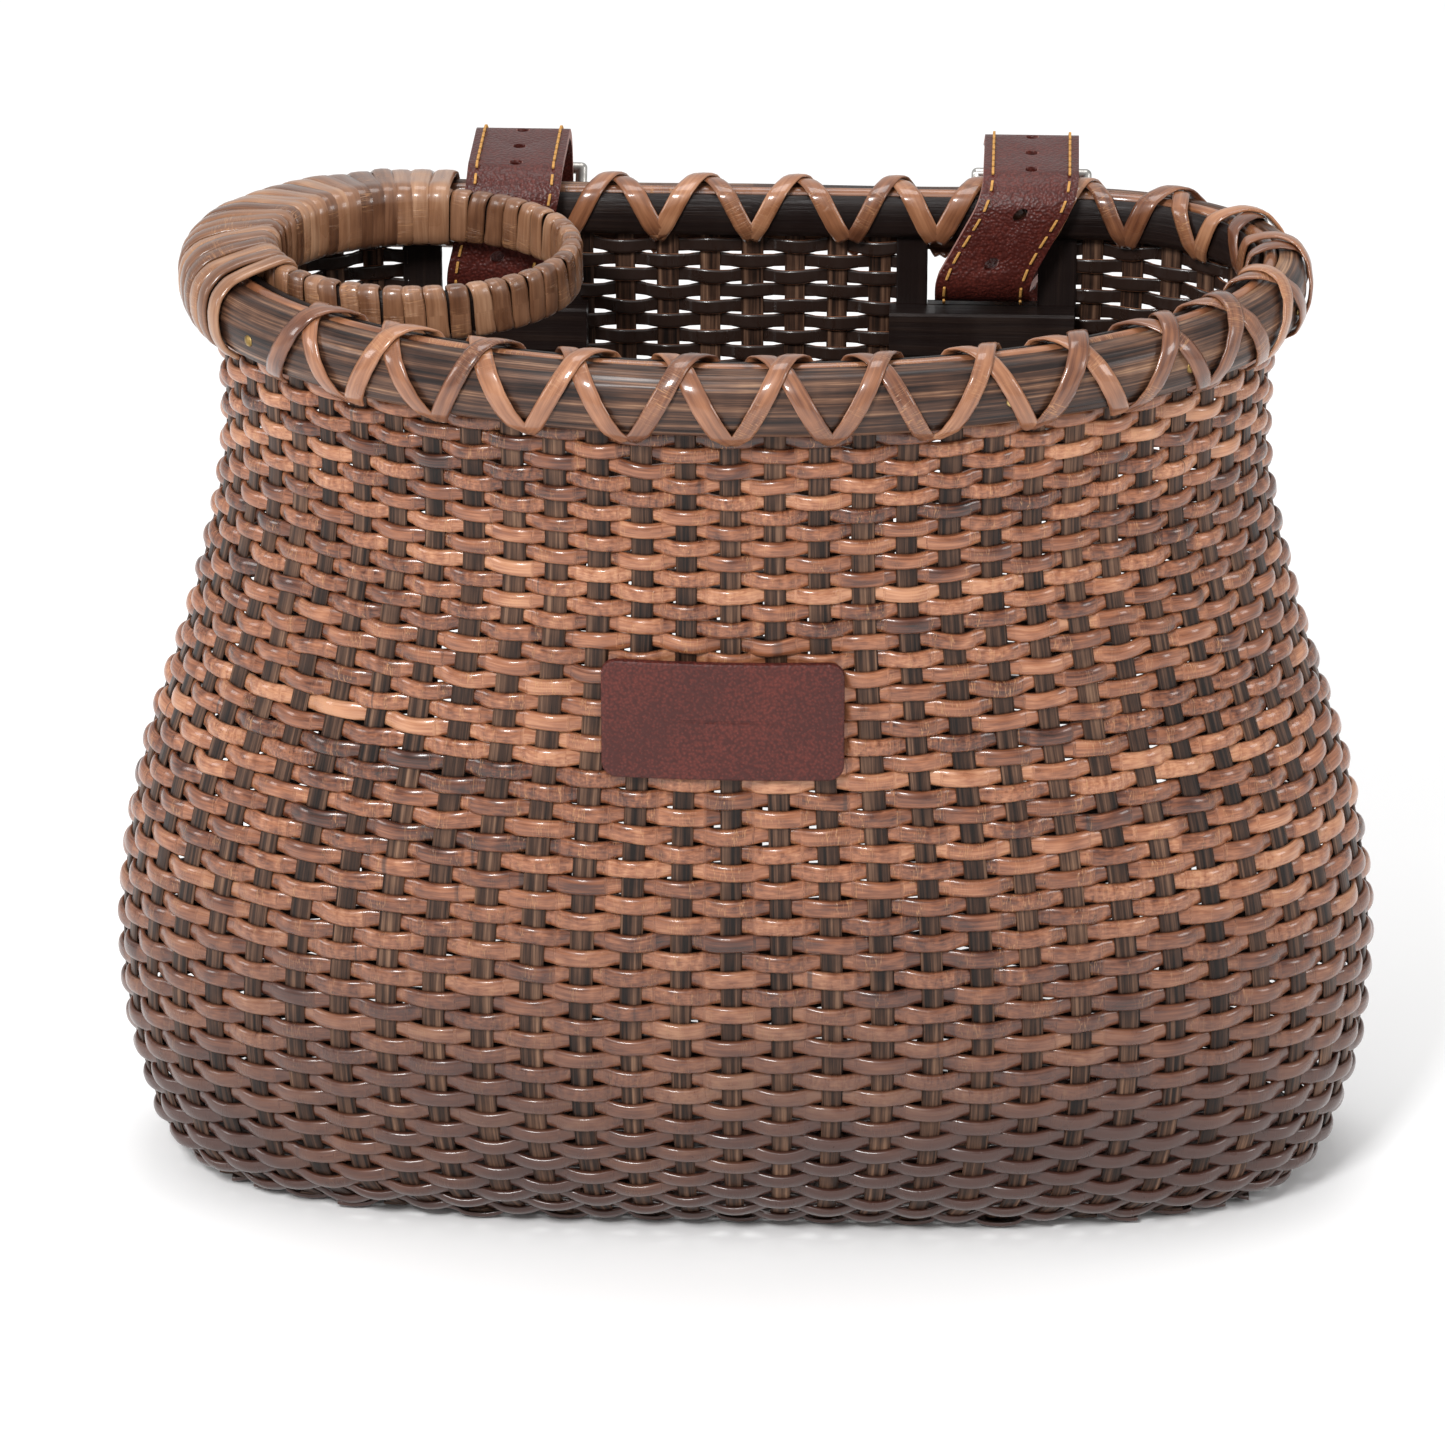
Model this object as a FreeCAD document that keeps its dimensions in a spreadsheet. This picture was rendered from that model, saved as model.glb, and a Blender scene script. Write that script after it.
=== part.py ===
"""Handlebar basket: a woven D-shaped basket with a cup ring and two leather handlebar straps.

Millimetres, +Z up.  The origin is on the underside of the base, in the plane where the basket is
widest.  The bowed front faces -Y, the flat back with the strap windows faces +Y.
"""
import FreeCAD, Part
import Sketcher
import math
import os

os.makedirs("parts", exist_ok=True)

SIZES = {
    # woven wall, as D-shaped outlines stacked at heights
    "wall_thick": 4.0, "corner_run": 50.0, "back_depth": 47.0, "base_thick": 5.0, "wall_top": 251.0,
    # rim
    "hoop_bottom": 238.0, "hoop_top": 255.0, "hoop_bulge": 7.5,
    "inner_hoop_bottom": 243.5, "inner_hoop_top": 254.5, "inner_hoop_thick": 3.0,
    "cane_top": 255.6, "fit_gap": 0.15,
    "lashing_width": 5.0, "lashing_thick": 1.1, "lashing_count": 28,
    "nail_head_radius": 1.6, "nail_head_thick": 0.5, "nail_radius": 0.7, "nail_length": 6.0,
    "nail_height": 246.0,
    # cup ring
    "cup_x": -84.2, "cup_y": -10.6, "cup_inner_radius": 37.0, "cup_outer_radius": 42.5,
    "cup_bottom": 245.0, "cup_top": 259.0, "cup_wrap_thick": 1.3, "cup_edge_round": 1.2,
    "binding_right": -83.0, "binding_front": -36.0, "binding_width": 5.2, "binding_steps": 112,
    "binding_margin": 8.0,
    # strap windows in the back wall
    "window_left": -68.0, "window_right": 61.0, "window_width": 29.2, "window_bottom": 219.0,
    "window_top": 243.0, "inner_post_width": 8.2, "outer_post_width": 10.2,
    "sill_width": 49.0, "sill_depth": 8.0, "sill_bottom": 212.0, "sill_top": 224.2,
    # label patch
    "patch_x": -2.0, "patch_height": 159.0, "patch_width": 64.0, "patch_tall": 33.0,
    "patch_thick": 1.8, "patch_corner": 4.0, "patch_lift": 0.9,
    # handlebar straps
    "bar_radius": 12.7, "bar_y": 70.0, "bar_height": 247.0,
    "strap_left": -67.0, "strap_right": 62.5, "strap_width": 25.0, "strap_thick": 2.5,
    "strap_inner_y": 34.75, "strap_corner": 9.0, "strap_knee": 12.0, "strap_window_height": 226.8,
    "lap_turn": 3.0,
    "tail_angle": 10.0, "tail_length": 46.0, "heel_distance": 14.8, "heel_drop": 5.6,
    "buckle_wire": 1.6, "buckle_reach": 11.0, "buckle_half_width": 14.6,
    "prong_radius": 1.1, "prong_slot": 3.4, "prong_lift": 25.0,
    "hole_radius": 1.8, "hole_pitch": 13.5, "stitch_inset": 2.4, "stitch_length": 3.2,
    "stitch_pitch": 4.6, "stitch_thick": 0.7, "stitch_start": 36.0, "stitch_lift": 0.15, "buckle_clear": 4.5,
    "rivet_radius": 2.2, "rivet_head": 3.8, "rivet_head_thick": 1.2, "rivet_turn": -84.0,
}

# Each level of the wall: height, half width, front depth, squareness of the front curve.
WALL_LEVELS = [
    (0.0, 147.0, 54.0, 3.2),
    (7.0, 155.0, 63.0, 3.0),
    (24.0, 162.5, 74.5, 2.65),
    (65.0, 168.0, 86.5, 2.35),
    (110.0, 161.5, 90.0, 2.2),
    (160.0, 146.0, 90.5, 2.1),
    (200.0, 137.5, 93.5, 2.0),
    (236.0, 137.5, 97.0, 2.0),
    (251.0, 137.5, 97.0, 2.0),
]

doc = FreeCAD.newDocument("HandlebarBasket")
sheet = doc.addObject("Spreadsheet::Sheet", "Sizes")


def fill_sheet():
    """Write every driving dimension into the sheet, with its alias beside it."""
    row = 1
    for alias, number in SIZES.items():
        sheet.set("A%d" % row, alias)
        sheet.set("B%d" % row, str(number))
        sheet.setAlias("B%d" % row, alias)
        row += 1
    for index, level in enumerate(WALL_LEVELS):
        for column, word in zip("DEFG", ("height", "half_width", "front_depth", "squareness")):
            cell = "%s%d" % (column, index + 1)
            sheet.set(cell, str(level["DEFG".index(column)]))
            sheet.setAlias(cell, "level_%s_%s" % ("abcdefghi"[index], word))
    doc.recompute()


def size(alias):
    """A driving dimension, read from the sheet."""
    return float(sheet.get(alias))


def level_sizes(index):
    """Height, half width, front depth and squareness of one wall level."""
    letter = "abcdefghi"[index]
    words = ("height", "half_width", "front_depth", "squareness")
    return [size("level_%s_%s" % (letter, word)) for word in words]


fill_sheet()
nodes = {}


def keep(name, obj):
    """Make an object one of the basket's sub-parts."""
    obj.Label = name
    nodes[name] = obj
    return obj


def cell(alias):
    """The sheet's cell as an expression."""
    return "Sizes." + alias


# ---------------------------------------------------------------- D-shaped outlines

def front_point(angle, half, depth, square):
    """A point of the bowed front; the angle runs from 0 at +X to pi at -X."""
    across = math.cos(angle)
    out = math.sin(angle)
    x = math.copysign(abs(across) ** (2 / square), across) * half
    return x, -depth * abs(out) ** (2 / square)


def spline(points):
    """A smooth edge through points."""
    curve = Part.BSplineCurve()
    curve.interpolate(points)
    return curve.toShape()


def d_outline(height, half, depth, square, offset):
    """Closed D outline at a height, grown sideways by an offset."""
    vector = FreeCAD.Vector
    wide = half + offset
    run = size("corner_run")
    back = size("back_depth") + offset
    middle = half - run
    steps = 16
    front = [vector(*front_point(math.pi * i / steps, wide, depth + offset, square), height)
             for i in range(steps + 1)]
    left = []
    right = []
    for i in range(5):
        turn = math.pi / 2 * i / 4
        x = (run + offset) * math.cos(turn)
        y = back * math.sin(turn)
        left.append(vector(-middle - x, y, height))
        right.insert(0, vector(middle + x, y, height))
    edges = [
        spline(front),
        spline(left),
        Part.makeLine(left[-1], right[0]),
        spline(right),
    ]
    return Part.Wire(edges)


def d_solid(name, stations):
    """Loft through D outlines; each station is height, half, depth, squareness, offset."""
    sections = []
    for index, station in enumerate(stations):
        section = doc.addObject("Part::Feature", "%s_outline_%d" % (name, index))
        section.Shape = d_outline(*station)
        sections.append(section)
    loft = doc.addObject("Part::Loft", name)
    loft.Sections = sections
    loft.Solid = True
    return loft


def wall_stations(offset):
    """The wall's levels as loft stations with one offset all over."""
    return [level_sizes(i) + [offset] for i in range(len(WALL_LEVELS))]


def rim_stations(profile):
    """Stations at the rim's outline; the profile lists heights and offsets."""
    rim = level_sizes(len(WALL_LEVELS) - 1)
    return [[height] + rim[1:] + [offset] for height, offset in profile]


def cut(name, base, tool):
    """One object less another."""
    result = doc.addObject("Part::Cut", name)
    result.Base = base
    result.Tool = tool
    return result


def fuse(name, shapes):
    """Several objects as one tool."""
    result = doc.addObject("Part::MultiFuse", name)
    result.Shapes = shapes
    return result


def common(name, base, tool):
    """What two objects share."""
    result = doc.addObject("Part::Common", name)
    result.Base = base
    result.Tool = tool
    return result


def box(name, length, width, height, corner):
    """A box whose edges and lowest corner are expressions."""
    block = doc.addObject("Part::Box", name)
    for prop, text in zip(("Length", "Width", "Height"), (length, width, height)):
        block.setExpression(prop, text)
    for axis, text in zip("xyz", corner):
        block.setExpression("Placement.Base." + axis, text)
    return block


# ---------------------------------------------------------------- woven wall and base

def past_ends(stations):
    """The same stations with the first and last carried past the solid they will cut."""
    overrun = 3.0
    first = list(stations[0])
    last = list(stations[-1])
    first[0] -= overrun
    last[0] += overrun
    return [first] + stations[1:-1] + [last]


wall_hull = d_solid("wall_hull", wall_stations(0.0))
wall_inside = d_solid("wall_inside", past_ends(wall_stations(-size("wall_thick"))))


def window_cutters():
    """The openings through the back wall, wide enough for the posts as well."""
    cutters = []
    for side in ("left", "right"):
        low = post_widths(side)[0]
        cutters.append(box(
            side + "_window_opening",
            "Sizes.window_width + Sizes.inner_post_width + Sizes.outer_post_width",
            "Sizes.wall_thick * 3",
            "Sizes.window_top - Sizes.window_bottom",
            ("Sizes.window_%s - Sizes.window_width / 2 - Sizes.%s" % (side, low),
             "Sizes.back_depth - Sizes.wall_thick * 2",
             "Sizes.window_bottom")))
    return cutters


def post_widths(side):
    """Cells for the widths of the posts at the low-X and high-X side of a window."""
    if side == "left":
        return "outer_post_width", "inner_post_width"
    return "inner_post_width", "outer_post_width"


def make_wall():
    """Woven wall: the D-shaped shell with its two windows."""
    openings = fuse("wall_openings", [wall_inside] + window_cutters())
    keep("woven_wall", cut("woven_wall", wall_hull, openings))


def make_base():
    """Woven base panel, closing the wall's lower end."""
    reach = 200.0
    slab = doc.addObject("Part::Box", "base_slab")
    slab.Length = 2 * reach
    slab.Width = 2 * reach
    slab.setExpression("Height", cell("base_thick"))
    slab.Placement.Base = FreeCAD.Vector(-reach, -reach, 0)
    keep("base_panel", common("base_panel", wall_inside, slab))


# ---------------------------------------------------------------- rim

def rim_path():
    """The rim's outline as a closed path."""
    height, half, depth, square = level_sizes(len(WALL_LEVELS) - 1)
    return d_outline(0.0, half, depth, square, 0.0)


def arch(near, far, bottom, top):
    """Heights and offsets of a side that swells from one offset to another and back."""
    steps = 6
    middle = (bottom + top) / 2
    tall = (top - bottom) / 2
    flat_share = 0.45
    stations = []
    for step in range(steps + 1):
        turn = math.pi * (step / steps - 0.5)
        swell = flat_share + (1 - flat_share) * math.cos(turn)
        stations.append((middle + tall * math.sin(turn), near + (far - near) * swell))
    return stations


def ring_of_rim(name, outside, inside):
    """Closed ring along the rim between two sides, each given as heights and offsets."""
    body = d_solid(name + "_body", rim_stations(outside))
    bore = d_solid(name + "_bore", past_ends(rim_stations(inside)))
    keep(name, cut(name, body, bore))


def make_outer_hoop():
    """Outer hoop: half-round split bamboo round the outside of the wall."""
    near = size("fit_gap")
    bottom = size("hoop_bottom")
    top = size("hoop_top")
    bulge = arch(near, size("hoop_bulge"), bottom, top)
    ring_of_rim("rim_outer_hoop", bulge, [(bottom, near), (top, near)])


def make_inner_hoop():
    """Inner hoop: a flat dark strip round the inside of the wall."""
    near = -size("wall_thick") - size("fit_gap")
    far = near - size("inner_hoop_thick")
    bottom = size("inner_hoop_bottom")
    top = size("inner_hoop_top")
    ring_of_rim("rim_inner_hoop", [(bottom, near), (top, near)], [(bottom, far), (top, far)])


def make_top_cane():
    """Filler cane laid over the wall's top edge, between the hoops."""
    bottom = size("wall_top") + size("fit_gap")
    top = size("cane_top")
    middle = -size("wall_thick") / 2
    half = size("wall_thick") / 2 - size("fit_gap")
    outer = middle + half
    inner = middle - half
    ring_of_rim("rim_top_cane", [(bottom, outer), (top, outer)], [(bottom, inner), (top, inner)])


def rim_places(count):
    """Evenly spaced places round the rim: point and the angle it faces outward."""
    between = 10
    points = rim_path().discretize(Number=count * between + 1)[:-1]
    places = []
    for index in range(0, len(points), between):
        along = points[(index + 1) % len(points)] - points[index - 1]
        places.append((points[index], math.degrees(math.atan2(along.x, -along.y))))
    return places


def in_binding(point):
    """Whether a rim point lies where the cup ring is bound on."""
    margin = size("binding_margin")
    return point.x < size("binding_right") + margin and point.y > size("binding_front") - margin


def bent_band(under, over, width):
    """Flat strip bent over a profile, given by its two sides as offsets and heights."""
    corners = [FreeCAD.Vector(offset, -width / 2, height) for offset, height in under + over]
    face = Part.Face(Part.makePolygon(corners + corners[:1]))
    return face.extrude(FreeCAD.Vector(0, width, 0))


def stand_at(shape, point, angle):
    """Put a shape at a rim place, its +X facing outward."""
    shape.Placement = FreeCAD.Placement(point, FreeCAD.Rotation(FreeCAD.Vector(0, 0, 1), angle))
    return shape


def group(name, solids):
    """A sub-part made of separate solids that are all alike."""
    obj = doc.addObject("Part::Feature", name)
    obj.Shape = Part.makeCompound(solids)
    keep(name, obj)


def make_lashing():
    """Rim lashing: flat strips bent over both hoops, left out where the cup ring is bound."""
    thick = size("lashing_thick")
    outside = size("hoop_bulge") + 0.2
    inside = -size("wall_thick") - size("fit_gap") - size("inner_hoop_thick") - 0.25
    crown = size("cane_top") + 0.4
    low = size("hoop_bottom")
    low_inside = size("inner_hoop_bottom") + 0.3
    under = [(outside, low), (outside, crown - 3.5), (outside - 2.7, crown),
             (inside + 1.2, crown), (inside, crown - 1.2), (inside, low_inside)]
    over = [(inside - thick, low_inside), (inside - thick, crown - 0.7), (inside + 0.7, crown + thick),
            (outside - 2.1, crown + thick), (outside + thick, crown - 3.0), (outside + thick, low)]
    group("rim_lashing", [stand_at(bent_band(under, over, size("lashing_width")), point, angle)
                          for point, angle in rim_places(int(size("lashing_count")))
                          if not in_binding(point)])


def make_nails():
    """Brass nails in the outer hoop, between the strips of lashing."""
    face = size("hoop_bulge")
    outward = FreeCAD.Vector(1, 0, 0)
    nails = []
    for point, angle in rim_places(2 * int(size("lashing_count")))[1::4]:
        if in_binding(point):
            continue
        head = Part.makeCylinder(size("nail_head_radius"), size("nail_head_thick"),
                                 FreeCAD.Vector(face, 0, 0), outward)
        shank = Part.makeCylinder(size("nail_radius"), size("nail_length"),
                                  FreeCAD.Vector(face - size("nail_length"), 0, 0), outward)
        point.z = size("nail_height")
        nails.append(stand_at(head.fuse(shank), point, angle))
    group("rim_nails", nails)


# ---------------------------------------------------------------- cup ring

def ring_sketch(body, name, cells):
    """Rectangle in the XZ plane; cells are its inner radius, outer radius, bottom and top."""
    sketch = body.newObject("Sketcher::SketchObject", name)
    plane = next(f for f in body.Origin.OriginFeatures if f.Role == "XZ_Plane")
    sketch.AttachmentSupport = [(plane, "")]
    sketch.MapMode = "FlatFace"
    left, right = size("cup_inner_radius"), size("cup_outer_radius")
    low, high = size("cup_bottom"), size("cup_top")
    corners = [FreeCAD.Vector(x, y, 0) for x, y in ((left, low), (right, low), (right, high), (left, high))]
    for i in range(4):
        sketch.addGeometry(Part.LineSegment(corners[i], corners[(i + 1) % 4]))
    for i in range(4):
        sketch.addConstraint(Sketcher.Constraint("Coincident", i, 2, (i + 1) % 4, 1))
    for i, way in enumerate(("Horizontal", "Vertical", "Horizontal", "Vertical")):
        sketch.addConstraint(Sketcher.Constraint(way, i))
    inner_radius, outer_radius, bottom, top = cells
    bounds = (("DistanceX", 0, left, inner_radius), ("DistanceX", 1, right, outer_radius),
              ("DistanceY", 0, low, bottom), ("DistanceY", 2, high, top))
    for way, corner, start, text in bounds:
        index = sketch.addConstraint(Sketcher.Constraint(way, -1, 1, corner, 1, start))
        sketch.setExpression("Constraints[%d]" % index, text)
    return sketch


def place_ring(body):
    """Stand a ring's body at the cup ring's centre."""
    body.setExpression("Placement.Base.x", cell("cup_x"))
    body.setExpression("Placement.Base.y", cell("cup_y"))


def make_cup_ring():
    """Cup ring: a flat hoop, wrapped all round with rattan strip."""
    wrap = "Sizes.cup_wrap_thick"
    core_cells = ("Sizes.cup_inner_radius + " + wrap, "Sizes.cup_outer_radius - " + wrap,
                  "Sizes.cup_bottom + " + wrap, "Sizes.cup_top - " + wrap)
    skin_cells = ("Sizes.cup_inner_radius", "Sizes.cup_outer_radius", "Sizes.cup_bottom", "Sizes.cup_top")
    for name, cells in (("cup_ring_core", core_cells), ("cup_ring_wrap", skin_cells)):
        body = doc.addObject("PartDesign::Body", name)
        sketch = ring_sketch(body, name + "_profile", cells)
        turn = body.newObject("PartDesign::Revolution", name + "_turn")
        turn.Profile = sketch
        turn.ReferenceAxis = (sketch, ["V_Axis"])
        turn.Angle = 360
        doc.recompute()
        if name == "cup_ring_wrap":
            hollow = body.newObject("PartDesign::Groove", name + "_hollow")
            hollow.Profile = ring_sketch(body, name + "_hollow_profile", core_cells)
            hollow.ReferenceAxis = (hollow.Profile[0], ["V_Axis"])
            hollow.Angle = 360
            doc.recompute()
            fillet_ring(body, hollow)
        place_ring(body)
        keep(name, body)


def fillet_ring(body, base):
    """Round the wrap's four outer edges."""
    skin = (size("cup_inner_radius"), size("cup_outer_radius"))
    heights = (size("cup_bottom"), size("cup_top"))
    names = []
    for index, edge in enumerate(base.Shape.Edges):
        if not isinstance(edge.Curve, Part.Circle):
            continue
        matches_radius = any(abs(edge.Curve.Radius - r) < 1e-3 for r in skin)
        matches_height = any(abs(edge.Curve.Center.z - z) < 1e-3 for z in heights)
        if matches_radius and matches_height:
            names.append("Edge%d" % (index + 1))
    fillet = body.newObject("PartDesign::Fillet", body.Name + "_round")
    fillet.Base = (base, names)
    fillet.Radius = size("cup_edge_round")
    doc.recompute()


def entry(point, inward, radius):
    """How far inward from a rim point a circle round the cup ring's centre is first met."""
    away = FreeCAD.Vector(point.x - size("cup_x"), point.y - size("cup_y"), 0)
    along = away.dot(inward)
    spare = along * along - away.dot(away) + radius * radius
    return -along - math.sqrt(max(spare, 0.0))


def make_binding():
    """Binding: strips wound over the rim and the cup ring where they touch, at the back left."""
    thick = size("lashing_thick")
    width = size("binding_width")
    outside = size("hoop_bulge") + 0.2
    low = size("hoop_bottom")
    crown = size("cane_top") + 0.5
    ring_top = size("cup_top") + 0.4
    ring_low = size("cup_bottom") - 1.0
    bands = []
    for point, angle in rim_places(int(size("binding_steps"))):
        if point.x > size("binding_right") or point.y < size("binding_front"):
            continue
        inward = -FreeCAD.Rotation(FreeCAD.Vector(0, 0, 1), angle).multVec(FreeCAD.Vector(1, 0, 0))
        side = FreeCAD.Vector(-inward.y, inward.x, 0) * (width / 2)
        clear = size("cup_inner_radius") - 0.5
        near = size("cup_outer_radius") + 0.5
        inside = -max(entry(point + side * step, inward, clear) for step in (-1, 0, 1))
        edge = -min(entry(point + side * step, inward, near) for step in (-1, 0, 1))
        under = [(outside, low), (outside, crown - 3.5), (outside - 2.7, crown), (edge + 1.0, ring_top),
                 (inside, ring_top), (inside, ring_low)]
        over = [(inside - thick, ring_low), (inside - thick, ring_top + thick),
                (edge + 1.5, ring_top + thick), (outside - 2.1, crown + thick),
                (outside + thick, crown - 3.0), (outside + thick, low)]
        bands.append(stand_at(bent_band(under, over, width), point, angle))
    group("cup_ring_binding", bands)


# ---------------------------------------------------------------- strap windows

def make_windows():
    """Dark posts at both sides of each window, and the sill block across its foot."""
    for side in ("left", "right"):
        low, high = post_widths(side)
        edge = "Sizes.window_%s %s Sizes.window_width / 2"
        places = ((low, (edge % (side, "-")) + " - Sizes." + low), (high, edge % (side, "+")))
        for width, start in places:
            name = "%s_window_%s" % (side, width.replace("_width", ""))
            keep(name, box(name, cell(width), "Sizes.wall_thick",
                           "Sizes.window_top - Sizes.window_bottom - Sizes.fit_gap",
                           (start, "Sizes.back_depth - Sizes.wall_thick", "Sizes.window_bottom")))
        ledge = box(side + "_sill_ledge", "Sizes.sill_width", "Sizes.sill_depth - Sizes.fit_gap",
                    "Sizes.sill_top - Sizes.sill_bottom",
                    ("Sizes.window_%s - Sizes.sill_width / 2" % side,
                     "Sizes.back_depth - Sizes.wall_thick - Sizes.sill_depth", "Sizes.sill_bottom"))
        tongue = box(side + "_sill_tongue", "Sizes.window_width", "Sizes.wall_thick + 2 * Sizes.fit_gap",
                     "Sizes.sill_top - Sizes.window_bottom",
                     ("Sizes.window_%s - Sizes.window_width / 2" % side,
                      "Sizes.back_depth - Sizes.wall_thick - 2 * Sizes.fit_gap", "Sizes.window_bottom"))
        keep(side + "_window_sill", fuse(side + "_window_sill", [ledge, tongue]))


# ---------------------------------------------------------------- label patch

def front_outline(height, offset, low_x, high_x):
    """Points of the wall's bowed front between two X values, moved outward by an offset."""
    stations = [level_sizes(i) for i in range(len(WALL_LEVELS))]
    index = max(i for i in range(len(stations) - 1) if stations[i][0] <= height)
    share = (height - stations[index][0]) / (stations[index + 1][0] - stations[index][0])
    pairs = zip(stations[index][1:], stations[index + 1][1:])
    half, depth, square = [low + (high - low) * share for low, high in pairs]
    half += offset
    depth += offset
    points = []
    for step in range(7):
        x = low_x + (high_x - low_x) * step / 6
        y = -depth * (1 - abs(x / half) ** square) ** (1 / square)
        points.append(FreeCAD.Vector(x, y, height))
    return points


def make_patch():
    """Leather label patch, bent to the front of the wall."""
    lift = size("patch_lift")
    tall = size("patch_tall")
    low_x = size("patch_x") - size("patch_width") / 2
    high_x = size("patch_x") + size("patch_width") / 2
    sections = []
    for step in range(4):
        height = size("patch_height") + tall * (step / 3 - 0.5)
        back = front_outline(height, lift, low_x, high_x)
        front = front_outline(height, lift + size("patch_thick"), low_x, high_x)
        sections.append(Part.Wire([spline(back), Part.makeLine(back[-1], front[-1]),
                                   spline(front), Part.makeLine(front[0], back[0])]))
    plate = Part.makeLoft(sections, True, False)
    block = Part.makeBox(size("patch_width"), 100, tall,
                         FreeCAD.Vector(low_x, -150, size("patch_height") - tall / 2))
    upright = [edge for edge in block.Edges if abs(edge.tangentAt(edge.FirstParameter).y) > 0.99]
    rounded = block.makeFillet(size("patch_corner"), upright)
    patch = doc.addObject("Part::Feature", "label_patch")
    patch.Shape = plate.common(rounded)
    keep("label_patch", patch)


# ---------------------------------------------------------------- straps

def polar(centre, radius, degrees):
    """A point of the strap's side view at an angle from a centre."""
    angle = math.radians(degrees)
    return centre + FreeCAD.Vector(0, radius * math.cos(angle), radius * math.sin(angle))


def strap_frame():
    """Bar centre, loop radius, tail directions, tail start and heel bar, in side view."""
    bar = FreeCAD.Vector(0, size("bar_y"), size("bar_height"))
    middle = size("bar_radius") + size("strap_thick") / 2
    lean = math.radians(size("tail_angle"))
    outward = FreeCAD.Vector(0, math.cos(lean), math.sin(lean))
    down = FreeCAD.Vector(0, math.sin(lean), -math.cos(lean))
    start = bar + outward * middle
    heel = start + down * size("heel_distance") - outward * size("heel_drop")
    return bar, middle, outward, down, start, heel


def strap_path():
    """Middle line of the strap in side view, from the return of its heel fold to its tail."""
    bar, middle, outward, down, start, heel = strap_frame()
    thick = size("strap_thick")
    fold = size("buckle_wire") + thick / 2
    apart = heel - bar
    distance = apart.Length
    aim = math.degrees(math.atan2(apart.z, apart.y))
    lapped = middle + thick + 0.05
    outer_turn = aim - math.degrees(math.acos((lapped - fold) / distance))
    inner_turn = aim - math.degrees(math.acos((middle + fold) / distance))
    edges = []

    def arc(centre, radius, first, last):
        edges.append(Part.Arc(polar(centre, radius, first), polar(centre, radius, (first + last) / 2),
                              polar(centre, radius, last)).toShape())

    def line(first, last):
        edges.append(Part.makeLine(first, last))

    # return of the fold, then round the heel bar, then under the handlebar
    arc(bar, lapped, outer_turn - size("lap_turn"), outer_turn)
    line(polar(bar, lapped, outer_turn), polar(heel, fold, outer_turn))
    arc(heel, fold, outer_turn, inner_turn + 180)
    line(polar(heel, fold, inner_turn + 180), polar(bar, middle, inner_turn))
    # into the window
    corner = size("strap_corner")
    inside = size("strap_inner_y")
    foot = FreeCAD.Vector(0, inside + corner, size("strap_window_height") + corner)
    bend = size("strap_knee")
    knee = FreeCAD.Vector(0, foot.y + 2.0, size("strap_window_height") + bend)
    apart = bar - knee
    slope = math.degrees(math.atan2(apart.z, apart.y))
    # both circles lie above the line, so the touching points share one angle
    rise = slope - math.degrees(math.asin((middle - bend) / apart.Length))
    arc(bar, middle, inner_turn, rise - 90)
    line(polar(bar, middle, rise - 90), polar(knee, bend, rise - 90))
    arc(knee, bend, rise - 90, -90)
    line(polar(knee, bend, -90), polar(foot, corner, -90))
    arc(foot, corner, -90, -180)
    # up inside, over the rim and over the handlebar
    shoulder = FreeCAD.Vector(0, inside + corner, size("bar_height") + middle - corner - 0.3)
    line(polar(foot, corner, 180), polar(shoulder, corner, 180))
    apart = bar - shoulder
    slope = math.degrees(math.atan2(apart.z, apart.y))
    climb = slope + math.degrees(math.asin((middle - corner) / apart.Length))
    arc(shoulder, corner, 180, climb + 90)
    line(polar(shoulder, corner, climb + 90), polar(bar, middle, climb + 90))
    arc(bar, middle, climb + 90, size("tail_angle"))
    line(start, start + down * size("tail_length"))
    return edges


def band_solid(edges, width, thick, lift):
    """Flat band of one thickness along a side-view path, centred on X = 0."""
    solids = []
    for edge in edges:
        first = edge.valueAt(edge.FirstParameter)
        tangent = edge.tangentAt(edge.FirstParameter)
        across = FreeCAD.Vector(0, -tangent.z, tangent.y)
        half = FreeCAD.Vector(width / 2, 0, 0)
        low = first + across * (lift - thick / 2)
        high = first + across * (lift + thick / 2)
        corners = [low - half, low + half, high + half, high - half]
        face = Part.Face(Part.makePolygon(corners + corners[:1]))
        if isinstance(edge.Curve, Part.Line):
            run = edge.valueAt(edge.LastParameter) - first
            solids.append(face.extrude(run))
        else:
            angle = math.degrees(edge.LastParameter - edge.FirstParameter)
            solids.append(face.revolve(edge.Curve.Center, edge.Curve.Axis, angle))
    whole = solids[0].multiFuse(solids[1:])
    return whole.removeSplitter()


def along_path(edges, distance):
    """Point and direction at a length along the path."""
    for edge in edges:
        if distance <= edge.Length:
            at = edge.getParameterByLength(distance)
            return edge.valueAt(at), edge.tangentAt(at)
        distance -= edge.Length
    last = edges[-1]
    return last.valueAt(last.LastParameter), last.tangentAt(last.LastParameter)


def hole_cutters(edges):
    """Punched holes along the strap, from the inside run to the tail."""
    total = sum(edge.Length for edge in edges)
    depth = size("strap_thick") * 3
    pitch = size("hole_pitch")
    prong_place = total - size("tail_length") + size("heel_distance") * 0.56
    cutters = []
    for step in range(-9, 3):
        if step == 0:
            continue
        point, tangent = along_path(edges, prong_place + step * pitch)
        across = FreeCAD.Vector(0, -tangent.z, tangent.y)
        cutters.append(Part.makeCylinder(size("hole_radius"), depth, point - across * depth / 2, across))
    return cutters


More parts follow.
